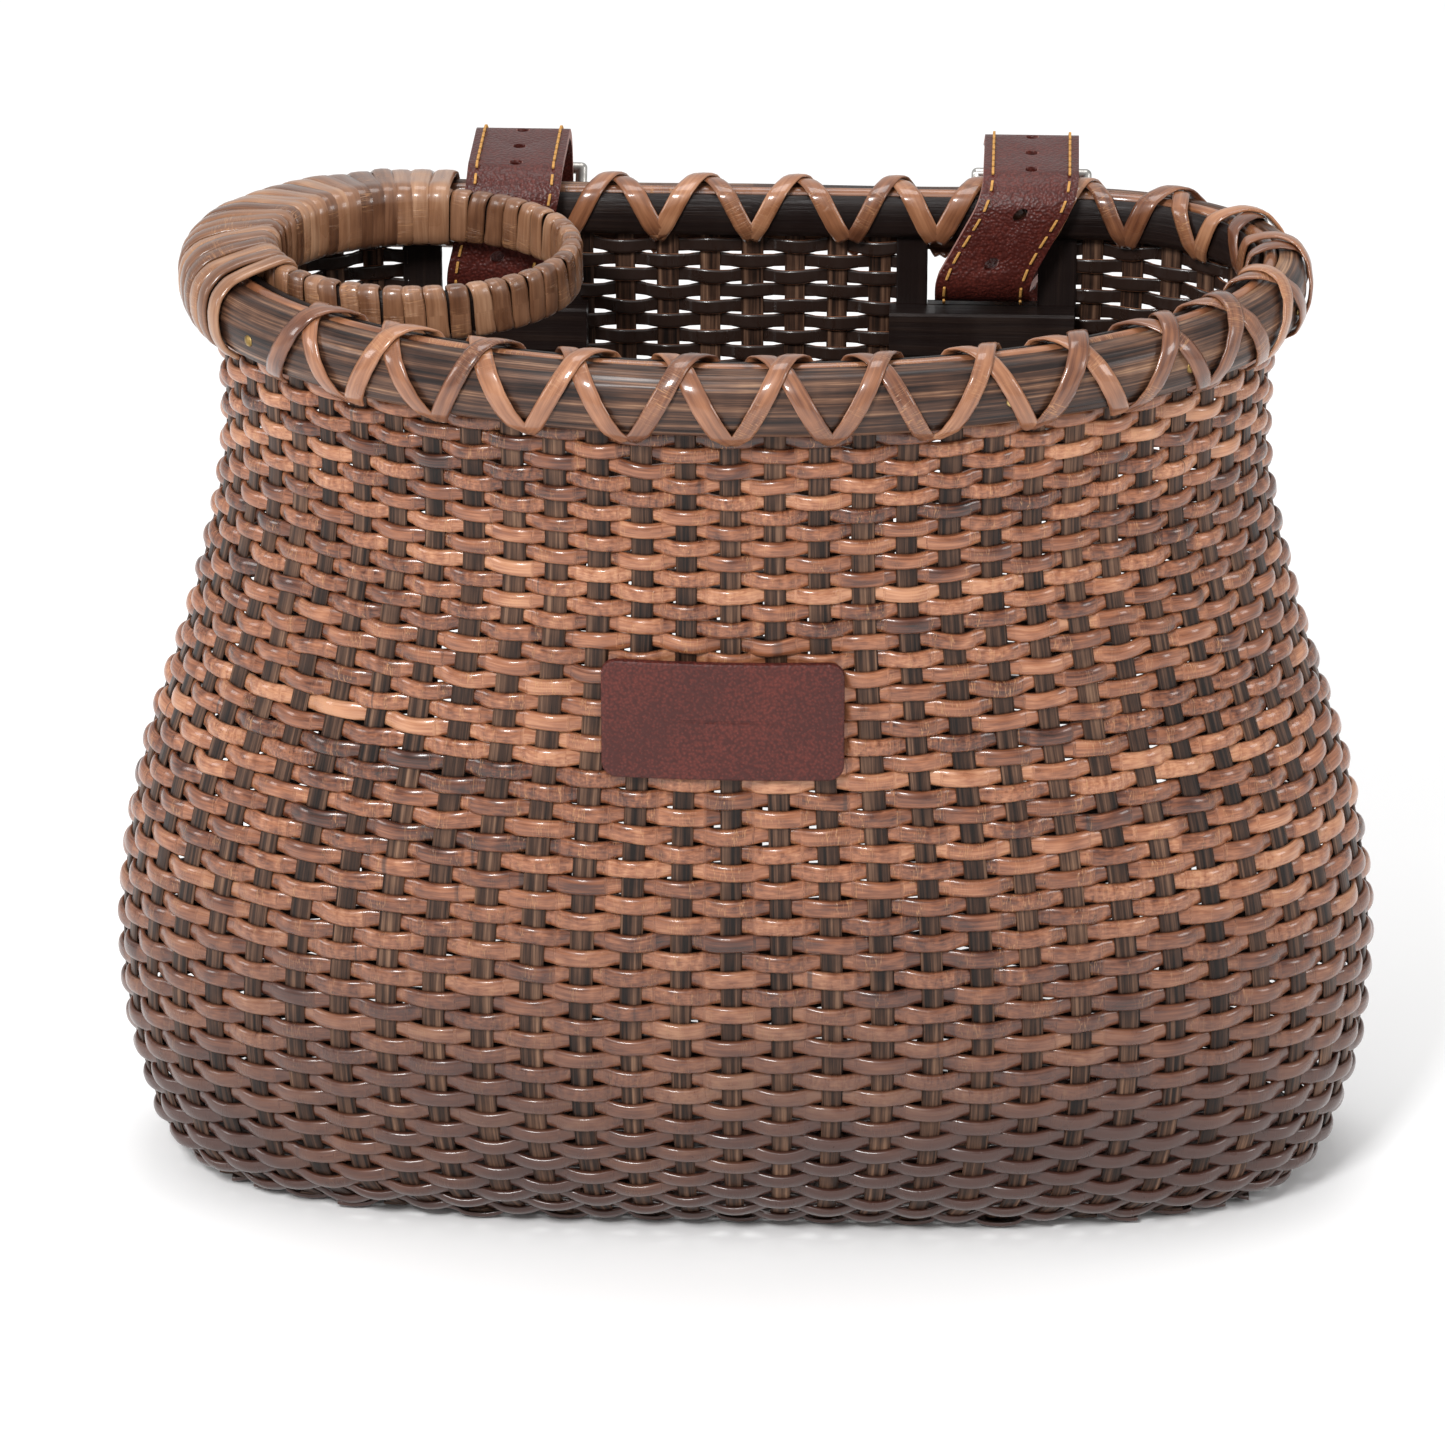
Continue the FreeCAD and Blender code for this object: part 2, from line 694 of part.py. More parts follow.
def prong_line():
    """Where the prong lies: the heel bar's centre and the way to its tip, resting on the front bar."""
    heel = strap_frame()[5]
    apart = front_bar() - heel
    touching = size("buckle_wire") + size("prong_radius") + size("fit_gap")
    turn = math.atan2(apart.z, apart.y) - math.asin(touching / apart.Length)
    return heel, FreeCAD.Vector(0, math.cos(turn), math.sin(turn)) * apart.Length


def front_bar():
    """Centre of the buckle's front bar, on the outer face of the tail."""
    outward, down, start = strap_frame()[2:5]
    clear = size("strap_thick") / 2 + size("buckle_wire") + 2 * size("fit_gap")
    return start + down * (size("heel_distance") - size("buckle_reach")) + outward * clear


def prong_sweep():
    """The slot that the prong needs through the fold and the tail, over its whole swing."""
    heel, reach = prong_line()
    width = size("prong_slot")
    length = reach.Length + 3
    base = math.degrees(math.atan2(reach.z, reach.y))
    points = [polar(heel, length, base - size("prong_lift") * i / 4 + turn)
              for i, turn in ((0, 9), (1, 0), (2, 0), (3, 0), (4, -7))]
    points = [polar(heel, 5.0, base + 75)] + points + [polar(heel, 5.0, base - 120)]
    shift = FreeCAD.Vector(-width / 2, 0, 0)
    points = [point + shift for point in points]
    fan = Part.Face(Part.makePolygon(points + points[:1])).extrude(FreeCAD.Vector(width, 0, 0))
    eye = Part.makeCylinder(4.3, width, heel + shift, FreeCAD.Vector(1, 0, 0))
    return fan.fuse(eye)


def rivet_axis():
    """Middle of the rivet through the heel fold, and the way its head faces."""
    bar = strap_frame()[0]
    turn = size("rivet_turn")
    way = polar(FreeCAD.Vector(0, 0, 0), 1.0, turn)
    return polar(bar, size("bar_radius") + 0.5, turn), way


def rivet_solid():
    """Domed rivet through both layers of the heel fold."""
    place, way = rivet_axis()
    grip = 2 * size("strap_thick") - 0.4
    shank = Part.makeCylinder(size("rivet_radius"), grip, place, way)
    head = Part.makeCone(size("rivet_head"), size("rivet_head") * 0.55, size("rivet_head_thick"),
                         place + way * grip, way)
    return shank.fuse(head)


def rivet_pair():
    """Two rivets side by side across the strap."""
    spread = size("strap_width") / 4
    rivets = []
    for side in (-1, 1):
        rivet = rivet_solid()
        rivet.translate(FreeCAD.Vector(side * spread, 0, 0))
        rivets.append(rivet)
    return rivets


def stitch_solids(edges):
    """Two rows of stitches on the outer face of the strap, left out under the buckle's bar."""
    total = sum(edge.Length for edge in edges)
    inset = size("strap_width") / 2 - size("stitch_inset")
    length = size("stitch_length")
    thick = size("stitch_thick")
    outside = size("strap_thick") / 2 + thick / 2 + size("stitch_lift")
    front = front_bar()
    stitches = []
    distance = size("stitch_start")
    while distance < total - 4:
        point, tangent = along_path(edges, distance)
        across = FreeCAD.Vector(0, -tangent.z, tangent.y)
        distance += size("stitch_pitch")
        if (point + across * outside - front).Length < size("buckle_clear"):
            continue
        for side in (-1, 1):
            bead = Part.makeBox(thick, length, thick, FreeCAD.Vector(-thick / 2, -length / 2, -thick / 2))
            angle = math.degrees(math.atan2(tangent.z, tangent.y))
            place = point + across * outside + FreeCAD.Vector(side * inset, 0, 0)
            bead.Placement = FreeCAD.Placement(place, FreeCAD.Rotation(FreeCAD.Vector(1, 0, 0), angle))
            stitches.append(bead)
    return stitches


def buckle_solid():
    """Rectangular wire buckle: heel bar, front bar and two side bars."""
    heel = strap_frame()[5]
    wire = size("buckle_wire")
    half = size("buckle_half_width")
    front = front_bar()
    across = FreeCAD.Vector(1, 0, 0)
    pieces = []
    for end in (heel, front):
        pieces.append(Part.makeCylinder(wire, 2 * half, end - across * half, across))
    for side in (-1, 1):
        foot = heel + across * side * half
        tip = front + across * side * half
        pieces.append(Part.makeCylinder(wire, (tip - foot).Length, foot, tip - foot))
        pieces.append(Part.makeSphere(wire, foot))
        pieces.append(Part.makeSphere(wire, tip))
    return pieces[0].multiFuse(pieces[1:])


def prong_solid():
    """Prong: an eye round the heel bar and a pin that rests on the front bar."""
    heel, reach = prong_line()
    wire = size("buckle_wire")
    radius = size("prong_radius")
    across = FreeCAD.Vector(1, 0, 0)
    eye_width = size("prong_slot") - 0.6
    eye = Part.makeCylinder(wire + 1.4, eye_width, heel - across * eye_width / 2, across)
    hole = Part.makeCylinder(wire + 0.06, eye_width + 2, heel - across * (eye_width / 2 + 1), across)
    way = FreeCAD.Vector(reach)
    way.normalize()
    pin = Part.makeCylinder(radius, reach.Length - wire + 1.8, heel + way * (wire + 0.4), way)
    return eye.fuse(pin).cut(hole)


def feature(name, shape, x):
    """A sub-part whose shape is set directly and stands at a place along X."""
    obj = doc.addObject("Part::Feature", name)
    obj.Shape = shape
    obj.Placement = FreeCAD.Placement(FreeCAD.Vector(x, 0, 0), FreeCAD.Rotation())
    keep(name, obj)


def make_straps():
    """Both handlebar straps with their stitching, rivets, buckle and prong."""
    edges = strap_path()
    leather = band_solid(edges, size("strap_width"), size("strap_thick"), 0.0)
    stitches = stitch_solids(edges)
    rivets = rivet_pair()
    buckle = buckle_solid()
    prong = prong_solid()
    leather = leather.cut(hole_cutters(edges) + [prong_sweep()] + rivets)
    for side in ("left", "right"):
        x = size("strap_" + side)
        feature(side + "_strap", leather.copy(), x)
        feature(side + "_strap_stitching", Part.makeCompound(stitches), x)
        feature(side + "_strap_rivets", Part.makeCompound(rivets), x)
        feature(side + "_buckle_frame", buckle.copy(), x)
        feature(side + "_buckle_prong", prong.copy(), x)


# ---------------------------------------------------------------- build, check, write

make_wall()
make_base()
make_outer_hoop()
make_inner_hoop()
make_top_cane()
make_lashing()
make_nails()
make_cup_ring()
make_binding()
make_windows()
make_patch()
make_straps()
doc.recompute()

for obj in doc.Objects:
    if "Invalid" in obj.State or "Error" in obj.State:
        raise RuntimeError("%s did not compute: %s" % (obj.Name, obj.State))
for name, obj in nodes.items():
    shape = obj.Shape
    if shape.isNull() or not shape.isValid() or not shape.Solids:
        raise RuntimeError("%s has no valid solid" % name)
for name, obj in nodes.items():
    obj.Shape.exportStep("parts/%s.step" % name)
    print("%-26s %2d solids %9.1f mm3" % (name, len(obj.Shape.Solids), obj.Shape.Volume))
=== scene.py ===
"""Handlebar basket: woven cane, bound rim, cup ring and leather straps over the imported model."""
import math

import bmesh
import bpy
import numpy as np
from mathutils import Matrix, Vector


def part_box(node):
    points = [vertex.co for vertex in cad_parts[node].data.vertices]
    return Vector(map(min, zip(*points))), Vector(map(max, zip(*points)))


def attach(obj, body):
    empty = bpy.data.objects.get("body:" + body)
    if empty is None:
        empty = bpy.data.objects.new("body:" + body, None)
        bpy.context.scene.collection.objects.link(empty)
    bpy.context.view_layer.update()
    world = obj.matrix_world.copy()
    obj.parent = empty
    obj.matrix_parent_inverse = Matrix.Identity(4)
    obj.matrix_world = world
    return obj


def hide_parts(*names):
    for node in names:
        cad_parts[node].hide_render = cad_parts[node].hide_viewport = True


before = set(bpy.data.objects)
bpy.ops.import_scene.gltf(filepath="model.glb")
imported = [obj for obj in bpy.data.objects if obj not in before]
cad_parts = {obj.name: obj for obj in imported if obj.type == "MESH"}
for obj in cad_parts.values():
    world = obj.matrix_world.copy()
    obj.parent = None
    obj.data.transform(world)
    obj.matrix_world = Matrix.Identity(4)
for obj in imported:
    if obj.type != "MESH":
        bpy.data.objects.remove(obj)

MM = 0.001
RNG = np.random.default_rng(12)
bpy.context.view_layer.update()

# ------------------------------------------------------------------ sizes, in millimetres

# Height, half width, front depth and squareness of the wall's outline.
WALL_LEVELS = [
    (0.0, 147.0, 54.0, 3.2),
    (7.0, 155.0, 63.0, 3.0),
    (24.0, 162.5, 74.5, 2.65),
    (65.0, 168.0, 86.5, 2.35),
    (110.0, 161.5, 90.0, 2.2),
    (160.0, 146.0, 90.5, 2.1),
    (200.0, 137.5, 93.5, 2.0),
    (236.0, 137.5, 97.0, 2.0),
    (251.0, 137.5, 97.0, 2.0),
]
CORNER_RUN = 50.0
BACK_DEPTH = 47.0
WALL_MIDDLE = -2.0
WALL_THICK = 4.0
GRID_TOP = 262
AROUND = 1440
SHARE_STEP = 0.002
CLIMB_STEP = 2

STAKES = 62
STAKE_WIDTH = 5.8
STAKE_THICK = 1.1
STAKE_FOOT = 0.8
STAKE_TOP = 249.0

WEAVER_THICK = 1.6
WEAVER_SWING = 1.3
WEAVER_OFFSET = 0.12
SWING_POWER = 0.88
FIRST_ROW = 3.3
ROWS_TOP = 241.0
PITCH_LEVELS = [0, 40, 90, 150, 210, 245]
ROW_PITCHES = [4.6, 5.0, 5.2, 4.9, 4.3, 4.15]
WIDTH_AT_STAKE = 0.92
WIDTH_BETWEEN_BACK = 0.80
WIDTH_BETWEEN_FRONT = 1.02
FRONT_BLEND = 60.0
ROWS_PER_BAND = 8
STEPS_PER_STAKE = 14

BASE_HALF = 148.0
BASE_FRONT = 56.0
BASE_BACK = BACK_DEPTH - 2
BASE_SQUARE = 3.1
BASE_LEVEL = 2.5
BASE_SWING = 1.3
BASE_STAKE_PITCH = 11.4
BASE_STAKE_REACH = 136.0
BASE_ROW_PITCH = 4.7
BASE_ROW_WIDTH = 4.3
BASE_ROW_THICK = 1.7

RIM_LEVEL = 247.0
LASHINGS = 28
LASHING_WIDTH = 4.9
LASHING_THICK = 1.1
CROSSING_LIFT = 1.25
CROSSING_SPREAD = 0.13
NAIL_LEVEL = 245.5
NAIL_OFFSET = 7.35
NAIL_DEPTHS = np.array([-0.6, 0.0, 0.35, 0.62, 0.75])
NAIL_RADII = np.array([1.5, 1.6, 1.35, 0.8, 0.1])

# Middle in X, and how wide the posts are on its low and high side.
WINDOWS = {"left": (-68.0, 10.2, 8.2), "right": (61.0, 8.2, 10.2)}
WINDOW_HALF = 14.6
WINDOW_BOTTOM = 219.0
POST_COVER = 1.5
WINDOW_REACH = 12

CUP_X = -84.2
CUP_Y = -10.6
CUP_INNER = 37.0
CUP_OUTER = 42.5
CUP_LOW = 245.0
CUP_HIGH = 259.0
RING_MIDDLE = (CUP_INNER + CUP_OUTER) / 2
RING_CENTRE = np.array([CUP_X, CUP_Y, (CUP_LOW + CUP_HIGH) / 2])
RING_WRAPS = 46
WRAP_THICK = 1.25
SECTION_POINTS = 28
CORE_POINTS = 120
BINDING_STEPS = 120
BINDING_WIDTH = 5.7
BINDING_THICK = 1.6
BINDING_X = -80.0
BINDING_Y = -38.0

PATCH_CORNER = 4.0
PATCH_SHARE = np.array([0.96, 1.0, 0.97])
# How far in from the patch's edge, and how far off the wall, each ring of its surface lies.
PATCH_RINGS = [(0.0, 0.9), (0.0, 2.3), (0.25, 2.6), (0.7, 2.75), (1.6, 2.72), (3.2, 2.70), (7.0, 2.70),
               (11.0, 2.70), (15.5, 2.70)]

# Sideways shift of each strap at its window, and how much more it has at the handlebar.
STRAP_LEANS = {"left": (-1.0, 5.5), "right": (-1.5, 12.5)}

CAMERA_TARGET = (-6, 0, 121)
CAMERA_DISTANCE = 2.0
CAMERA_ACROSS = 2.5
CAMERA_UP = 22.2
CAMERA_LENS = 187.8
SENSOR_WIDTH = 36.0


# ------------------------------------------------------------------ wall surface

def smooth_levels(height):
    """Half width, front depth and squareness at heights, on a smooth curve through the levels."""
    table = np.array(WALL_LEVELS)
    heights = table[:, 0]
    slopes = np.gradient(table[:, 1:], heights, axis=0)
    height = np.clip(height, heights[0], heights[-1])
    index = np.clip(np.searchsorted(heights, height, side="right") - 1, 0, len(heights) - 2)
    gap = heights[index + 1] - heights[index]
    t = ((height - heights[index]) / gap)[:, None]
    gap = gap[:, None]
    start, end = table[index, 1:], table[index + 1, 1:]
    return ((2 * t**3 - 3 * t**2 + 1) * start + (t**3 - 2 * t**2 + t) * gap * slopes[index]
            + (3 * t**2 - 2 * t**3) * end + (t**3 - t**2) * gap * slopes[index + 1])


def outline(half, depth, square):
    """D-shaped outline at one height, from the middle of the back and counter-clockwise."""
    middle = half - CORNER_RUN
    turn = np.linspace(math.pi / 2, math.pi, 60)
    left_x = -middle + CORNER_RUN * np.cos(turn)
    left_y = BACK_DEPTH * np.sin(turn)
    turn = np.linspace(math.pi, 0, 400)[1:-1]
    front_x = np.sign(np.cos(turn)) * np.abs(np.cos(turn)) ** (2 / square) * half
    front_y = -depth * np.abs(np.sin(turn)) ** (2 / square)
    x = np.concatenate([[0.0], left_x, front_x, -left_x[::-1], [0.0]])
    y = np.concatenate([[BACK_DEPTH], left_y, front_y, left_y[::-1], [BACK_DEPTH]])
    run = np.concatenate([[0], np.cumsum(np.hypot(np.diff(x), np.diff(y)))])
    even = np.linspace(0, run[-1], AROUND + 1)[:-1]
    return np.stack([np.interp(even, run, x), np.interp(even, run, y)], axis=1)


def build_grid():
    """Points of the wall's outer surface for every millimetre of height and step round it."""
    sizes = smooth_levels(np.arange(GRID_TOP + 1, dtype=float))
    return np.array([outline(*row) for row in sizes])


GRID = build_grid()


def surface(height, share):
    """Plan position of the wall's surface at heights and shares of the way round."""
    height = np.clip(height, 0, GRID_TOP - 0.001)
    low = height.astype(int)
    up = (height - low)[:, None]
    place = (share % 1.0) * AROUND
    first = place.astype(int) % AROUND
    on = (place - np.floor(place))[:, None]
    second = (first + 1) % AROUND
    below = GRID[low, first] * (1 - on) + GRID[low, second] * on
    above = GRID[low + 1, first] * (1 - on) + GRID[low + 1, second] * on
    return below * (1 - up) + above * up


def unit(vectors):
    """Vectors made one long."""
    return vectors / np.linalg.norm(vectors, axis=1, keepdims=True)


def wall_frame(height, share):
    """Points on the wall's surface with their outward and upward directions."""
    height = np.broadcast_to(np.asarray(height, float), share.shape).copy()
    plan = surface(height, share)
    along = surface(height, share + SHARE_STEP) - surface(height, share - SHARE_STEP)
    above = height + CLIMB_STEP
    below = np.maximum(height - CLIMB_STEP, 0)
    climb = surface(above, share) - surface(below, share)
    rise = np.minimum(above, GRID_TOP) - below
    along = unit(np.column_stack([along, np.zeros(len(along))]))
    out = np.column_stack([along[:, 1], -along[:, 0], np.zeros(len(along))])
    up = np.column_stack([climb, rise])
    up = unit(up - along * np.sum(up * along, axis=1, keepdims=True))
    out = unit(out - up * np.sum(out * up, axis=1, keepdims=True))
    return np.column_stack([plan, height]), out, up


# ------------------------------------------------------------------ mesh making

def half_round(count=10):
    """Section of a half-round strip: flat inside, domed outside; across and out, both about 1."""
    turn = np.linspace(0, math.pi, count)
    dome = [(-0.5 * math.cos(t), -0.5 + math.sin(t) ** 0.58) for t in turn]
    return np.array(dome + [(0.3, -0.5), (-0.3, -0.5)])


def flat_strip():
    """Section of a flat strip with eased edges and a slightly crowned face."""
    inner = 0.34
    return np.array([(-0.5, -0.2), (-0.5, 0.15), (-inner, 0.42), (0, 0.5), (inner, 0.42),
                     (0.5, 0.15), (0.5, -0.2), (inner, -0.5), (0, -0.5), (-inner, -0.5)])


def round_rod(count=14):
    """Round section."""
    turn = np.linspace(0, 2 * math.pi, count, endpoint=False)
    return np.stack([-0.5 * np.cos(turn), 0.5 * np.sin(turn)], axis=1)


class Pile:
    """Strips gathered into one mesh, with lengths in the UV map and a tint on every point."""

    def __init__(self):
        self.points, self.faces, self.uvs, self.tints = [], [], [], []
        self.total = 0

    def strip(self, centre, out, side, width, thick, profile, tint, closed=False):
        """Sweep a section along a centre line; an open strip is drawn in to a point at each end."""
        count = len(centre)
        width = np.broadcast_to(np.asarray(width, float), (count,)).copy()
        thick = np.broadcast_to(np.asarray(thick, float), (count,)).copy()
        tint = np.broadcast_to(np.asarray(tint, float), (count,)).copy()
        if not closed:
            start = centre[0] + (centre[0] - centre[1]) * 0.02
            end = centre[-1] + (centre[-1] - centre[-2]) * 0.02
            centre = np.vstack([start, centre, end])
            out = np.vstack([out[0], out, out[-1]])
            side = np.vstack([side[0], side, side[-1]])
            width = np.concatenate([[0.01], width, [0.01]])
            thick = np.concatenate([[0.01], thick, [0.01]])
            tint = np.concatenate([tint[:1], tint, tint[-1:]])
            count += 2
        around = len(profile)
        across = profile[:, 0][None, :, None] * width[:, None, None] * side[:, None, :]
        outward = profile[:, 1][None, :, None] * thick[:, None, None] * out[:, None, :]
        points = (centre[:, None, :] + across + outward).reshape(-1, 3)
        last = count if closed else count - 1
        i, j = np.meshgrid(np.arange(last), np.arange(around), indexing="ij")
        i, j = i.ravel(), j.ravel()
        i_next, j_next = (i + 1) % count, (j + 1) % around
        faces = np.stack([i * around + j, i_next * around + j,
                          i_next * around + j_next, i * around + j_next], axis=1)
        steps = np.linalg.norm(np.diff(centre, axis=0), axis=1)
        length = np.concatenate([[0], np.cumsum(steps)])
        closing = np.linalg.norm(centre[0] - centre[-1]) if closed else 0.0
        length = np.append(length, length[-1] + closing)
        v0, v1 = j / around, (j + 1) / around
        uvs = np.stack([length[i], v0, length[i + 1], v0, length[i + 1], v1, length[i], v1], axis=1)
        self.points.append(points)
        self.faces.append(faces + self.total)
        self.uvs.append(uvs)
        self.tints.append(np.repeat(tint, around))
        self.total += len(points)

    def drop(self, inside):
        """Leave out the faces whose middle satisfies a test."""
        points = np.vstack(self.points)
        faces = np.vstack(self.faces)
        uvs = np.vstack(self.uvs)
        stay = ~inside(points[faces].mean(axis=1))
        self.points, self.faces, self.uvs = [points], [faces[stay]], [uvs[stay]]

    def build(self, name, material, replaces=(), body="basket"):
        """Make the mesh object, give it its material and let it ride on its body."""
        points = np.vstack(self.points) * MM
        faces = np.vstack(self.faces)
        mesh = bpy.data.meshes.new(name)
        mesh.vertices.add(len(points))
        mesh.vertices.foreach_set("co", points.ravel())
        mesh.loops.add(len(faces) * 4)
        mesh.loops.foreach_set("vertex_index", faces.ravel().astype(np.int32))
        mesh.polygons.add(len(faces))
        mesh.polygons.foreach_set("loop_start", np.arange(0, len(faces) * 4, 4, dtype=np.int32))
        mesh.polygons.foreach_set("loop_total", np.full(len(faces), 4, dtype=np.int32))
        mesh.update(calc_edges=True)
        mesh.polygons.foreach_set("use_smooth", np.ones(len(faces), dtype=bool))
        layer = mesh.uv_layers.new(name="UVMap")
        layer.data.foreach_set("uv", np.vstack(self.uvs).ravel())
        tint = mesh.attributes.new("tint", "FLOAT", "POINT")
        tint.data.foreach_set("value", np.concatenate(self.tints))
        piece = bpy.data.objects.new(name, mesh)
        bpy.context.collection.objects.link(piece)
        return finish_piece(piece, material, replaces, body)


def finish_piece(piece, material, replaces=(), body="basket"):
    """Material, slot, body and the CAD nodes that a piece stands for."""
    if material is not None:
        piece.data.materials.append(material)
    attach(piece, body)
    if replaces:
        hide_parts(*replaces)
    return piece


# ------------------------------------------------------------------ materials

class Paint:
    """A node material and short ways to add to it."""

    def __init__(self, name):
        self.material = bpy.data.materials.new(name)
        self.material.use_nodes = True
        self.tree = self.material.node_tree
        self.shader = self.tree.nodes["Principled BSDF"]

    def node(self, kind, **settings):
        """A new node with its settings."""
        made = self.tree.nodes.new(kind)
        for key, value in settings.items():
            setattr(made, key, value)
        return made

    def put(self, value, socket):
        """Link an output to a socket, or set the socket to a plain value."""
        if isinstance(value, bpy.types.NodeSocket):
            self.tree.links.new(value, socket)
        else:
            socket.default_value = value

    def math(self, operation, first, second=0.0):
        """One sum, product or comparison of two values."""
        made = self.node("ShaderNodeMath", operation=operation)
        self.put(first, made.inputs[0])
        self.put(second, made.inputs[1])
        return made.outputs[0]

    def join(self, x, y, z):
        """Three values as one vector."""
        made = self.node("ShaderNodeCombineXYZ")
        for value, socket in zip((x, y, z), made.inputs):
            self.put(value, socket)
        return made.outputs[0]

    def noise(self, vector, scale, detail=3.0, rough=0.55):
        """Cloudy noise over a vector."""
        made = self.node("ShaderNodeTexNoise")
        self.put(vector, made.inputs["Vector"])
        made.inputs["Scale"].default_value = scale
        made.inputs["Detail"].default_value = detail
        made.inputs["Roughness"].default_value = rough
        return made.outputs[0]

    def ramp(self, value, stops):
        """A colour from a value, through places and colours."""
        made = self.node("ShaderNodeValToRGB")
        self.put(value, made.inputs[0])
        elements = made.color_ramp.elements
        while len(elements) < len(stops):
            elements.new(0.5)
        for element, (place, colour) in zip(elements, stops):
            element.position = place
            element.color = (*colour, 1.0)
        return made.outputs[0]

    def span(self, value, low, high, out_low=0.0, out_high=1.0):
        """A value stretched from one range to another, and held at its ends."""
        made = self.node("ShaderNodeMapRange")
        self.put(value, made.inputs[0])
        for index, number in enumerate((low, high, out_low, out_high)):
            made.inputs[index + 1].default_value = number
        return made.outputs[0]

    def mix(self, share, first, second):
        """Two colours mixed by a share."""
        made = self.node("ShaderNodeMix", data_type="RGBA")
        self.put(share, made.inputs[0])
        for value, index in ((first, 6), (second, 7)):
            if isinstance(value, tuple):
                value = (*value, 1.0)
            self.put(value, made.inputs[index])
        return made.outputs[2]

    def bump(self, height, strength, distance=0.0004, before=None):
        """Surface relief from a height, on top of an earlier relief if there is one."""
        made = self.node("ShaderNodeBump")
        made.inputs["Strength"].default_value = strength
        made.inputs["Distance"].default_value = distance
        self.put(height, made.inputs["Height"])
        if before is not None:
            self.put(before, made.inputs["Normal"])
        return made.outputs[0]

    def strip_coordinates(self, seed_scale):
        """Length along a strip in millimetres, share of the way round it, its seed and its tint."""
        split = self.node("ShaderNodeSeparateXYZ")
        self.put(self.node("ShaderNodeUVMap", uv_map="UVMap").outputs[0], split.inputs[0])
        tint = self.node("ShaderNodeAttribute", attribute_name="tint").outputs["Fac"]
        seed = self.math("MULTIPLY", tint, seed_scale)
        return (split.outputs[0], split.outputs[1], seed), tint

    def strip_noise(self, strip, along, across, detail, rough=0.55):
        """Noise on a strip, by how fast it changes along and across it."""
        length, round_it, seed = strip
        vector = self.join(self.math("MULTIPLY", length, along),
                           self.math("MULTIPLY", round_it, across), seed)
        return self.noise(vector, 1.0, detail, rough)

    def strip_patches(self, strip, along, layer):
        """Noise that changes only along a strip; each layer has its own pattern."""
        length, _, seed = strip
        return self.noise(self.join(self.math("MULTIPLY", length, along), seed, layer), 1.0, 1.0)

    def place(self):
        """Position in the object's own frame."""
        return self.node("ShaderNodeTexCoord").outputs["Object"]

    def height(self, spot):
        """Height of a position."""
        split = self.node("ShaderNodeSeparateXYZ")
        self.put(spot, split.inputs[0])
        return split.outputs[2]

    def finish(self, colour, rough, normal, coat=0.0, coat_rough=0.2, specular=0.5, metallic=0.0):
        """Connect the shader and hand back the material."""
        shader = self.shader.inputs
        self.put(colour, shader["Base Color"])
        self.put(rough, shader["Roughness"])
        self.put(normal, shader["Normal"])
        shader["Coat Weight"].default_value = coat
        shader["Coat Roughness"].default_value = coat_rough
        shader["Specular IOR Level"].default_value = specular
        shader["Metallic"].default_value = metallic
        return self.material


CRACK_COLOUR = (0.46, 0.23, 0.10)
KNOT_COLOUR = (0.030, 0.012, 0.008)
# Painted shade near the floor: its dark brown colour, and the height in metres where it has faded out.
FLOOR_SHADE_COLOUR = (0.052, 0.020, 0.014)
FLOOR_SHADE_HEIGHT = 0.115
# Near-black colour of the painted shade on the strips' inner faces.
INSIDE_SHADE_COLOUR = (0.020, 0.010, 0.007)
PEBBLE_SCALE = 1344.0
GRAIN_SCALE = 1260.0


def cane_material(name, stops, floor_shade=0.0, coat=0.4, shade_inside_from=2.0):
    """Varnished cane: streaks along it, blotches, pale cross cracks and a few dark nodes; where asked,
    painted shade near the floor and on the inner faces of the strips.
    """
    paint = Paint(name)
    strip, tint = paint.strip_coordinates(91.0)
    lines = paint.strip_noise(strip, 0.05, 15.0, 4.0, 0.65)
    blotch = paint.strip_noise(strip, 0.10, 2.2, 1.5)
    tone = paint.math("MULTIPLY", lines, 0.75)
    tone = paint.math("ADD", tone, paint.math("MULTIPLY", blotch, 0.55))
    tone = paint.math("ADD", tone, paint.math("MULTIPLY", tint, 0.55))
    tone = paint.math("SUBTRACT", tone, 0.415)
    colour = paint.ramp(tone, stops)
    crack_lines = paint.strip_noise(strip, 1.5, 1.6, 1.0)
    off_line = paint.math("ABSOLUTE", paint.math("SUBTRACT", crack_lines, 0.5))
    crack = paint.span(off_line, 0.0, 0.035, 1.0, 0.0)
    cracked = paint.span(paint.strip_patches(strip, 0.06, 3.0), 0.50, 0.62)
    crack = paint.math("MULTIPLY", crack, cracked)
    colour = paint.mix(paint.math("MULTIPLY", crack, 0.65), colour, CRACK_COLOUR)
    knot = paint.span(paint.strip_patches(strip, 0.09, 8.0), 0.71, 0.77)
    colour = paint.mix(paint.math("MULTIPLY", knot, 0.75), colour, KNOT_COLOUR)
    # Painted shade: the colour is drawn towards a dark brown from the bottom up to 115 mm, with a noisy
    # edge, for the shade close to the floor.
    if floor_shade > 0:
        spot = paint.place()
        low = paint.span(paint.height(spot), 0.0, FLOOR_SHADE_HEIGHT, floor_shade, 0.0)
        wander = paint.noise(spot, 14.0, 2.0)
        low = paint.math("MULTIPLY", low, paint.span(wander, 0.3, 0.7, 0.7, 1.2))
        colour = paint.mix(low, colour, FLOOR_SHADE_COLOUR)
    rough = paint.span(blotch, 0.3, 0.7, 0.25, 0.45)
    # Painted shade: faces past this share of the way round the section, the strips' flat inner faces, are
    # coloured near black for the shade inside the basket.
    inner = paint.math("GREATER_THAN", strip[1], shade_inside_from)
    colour = paint.mix(inner, colour, INSIDE_SHADE_COLOUR)
    relief = paint.math("SUBTRACT", paint.math("MULTIPLY", lines, 0.5), crack)
    return paint.finish(colour, rough, paint.bump(relief, 0.45, 0.00022), coat, 0.10, 0.38)


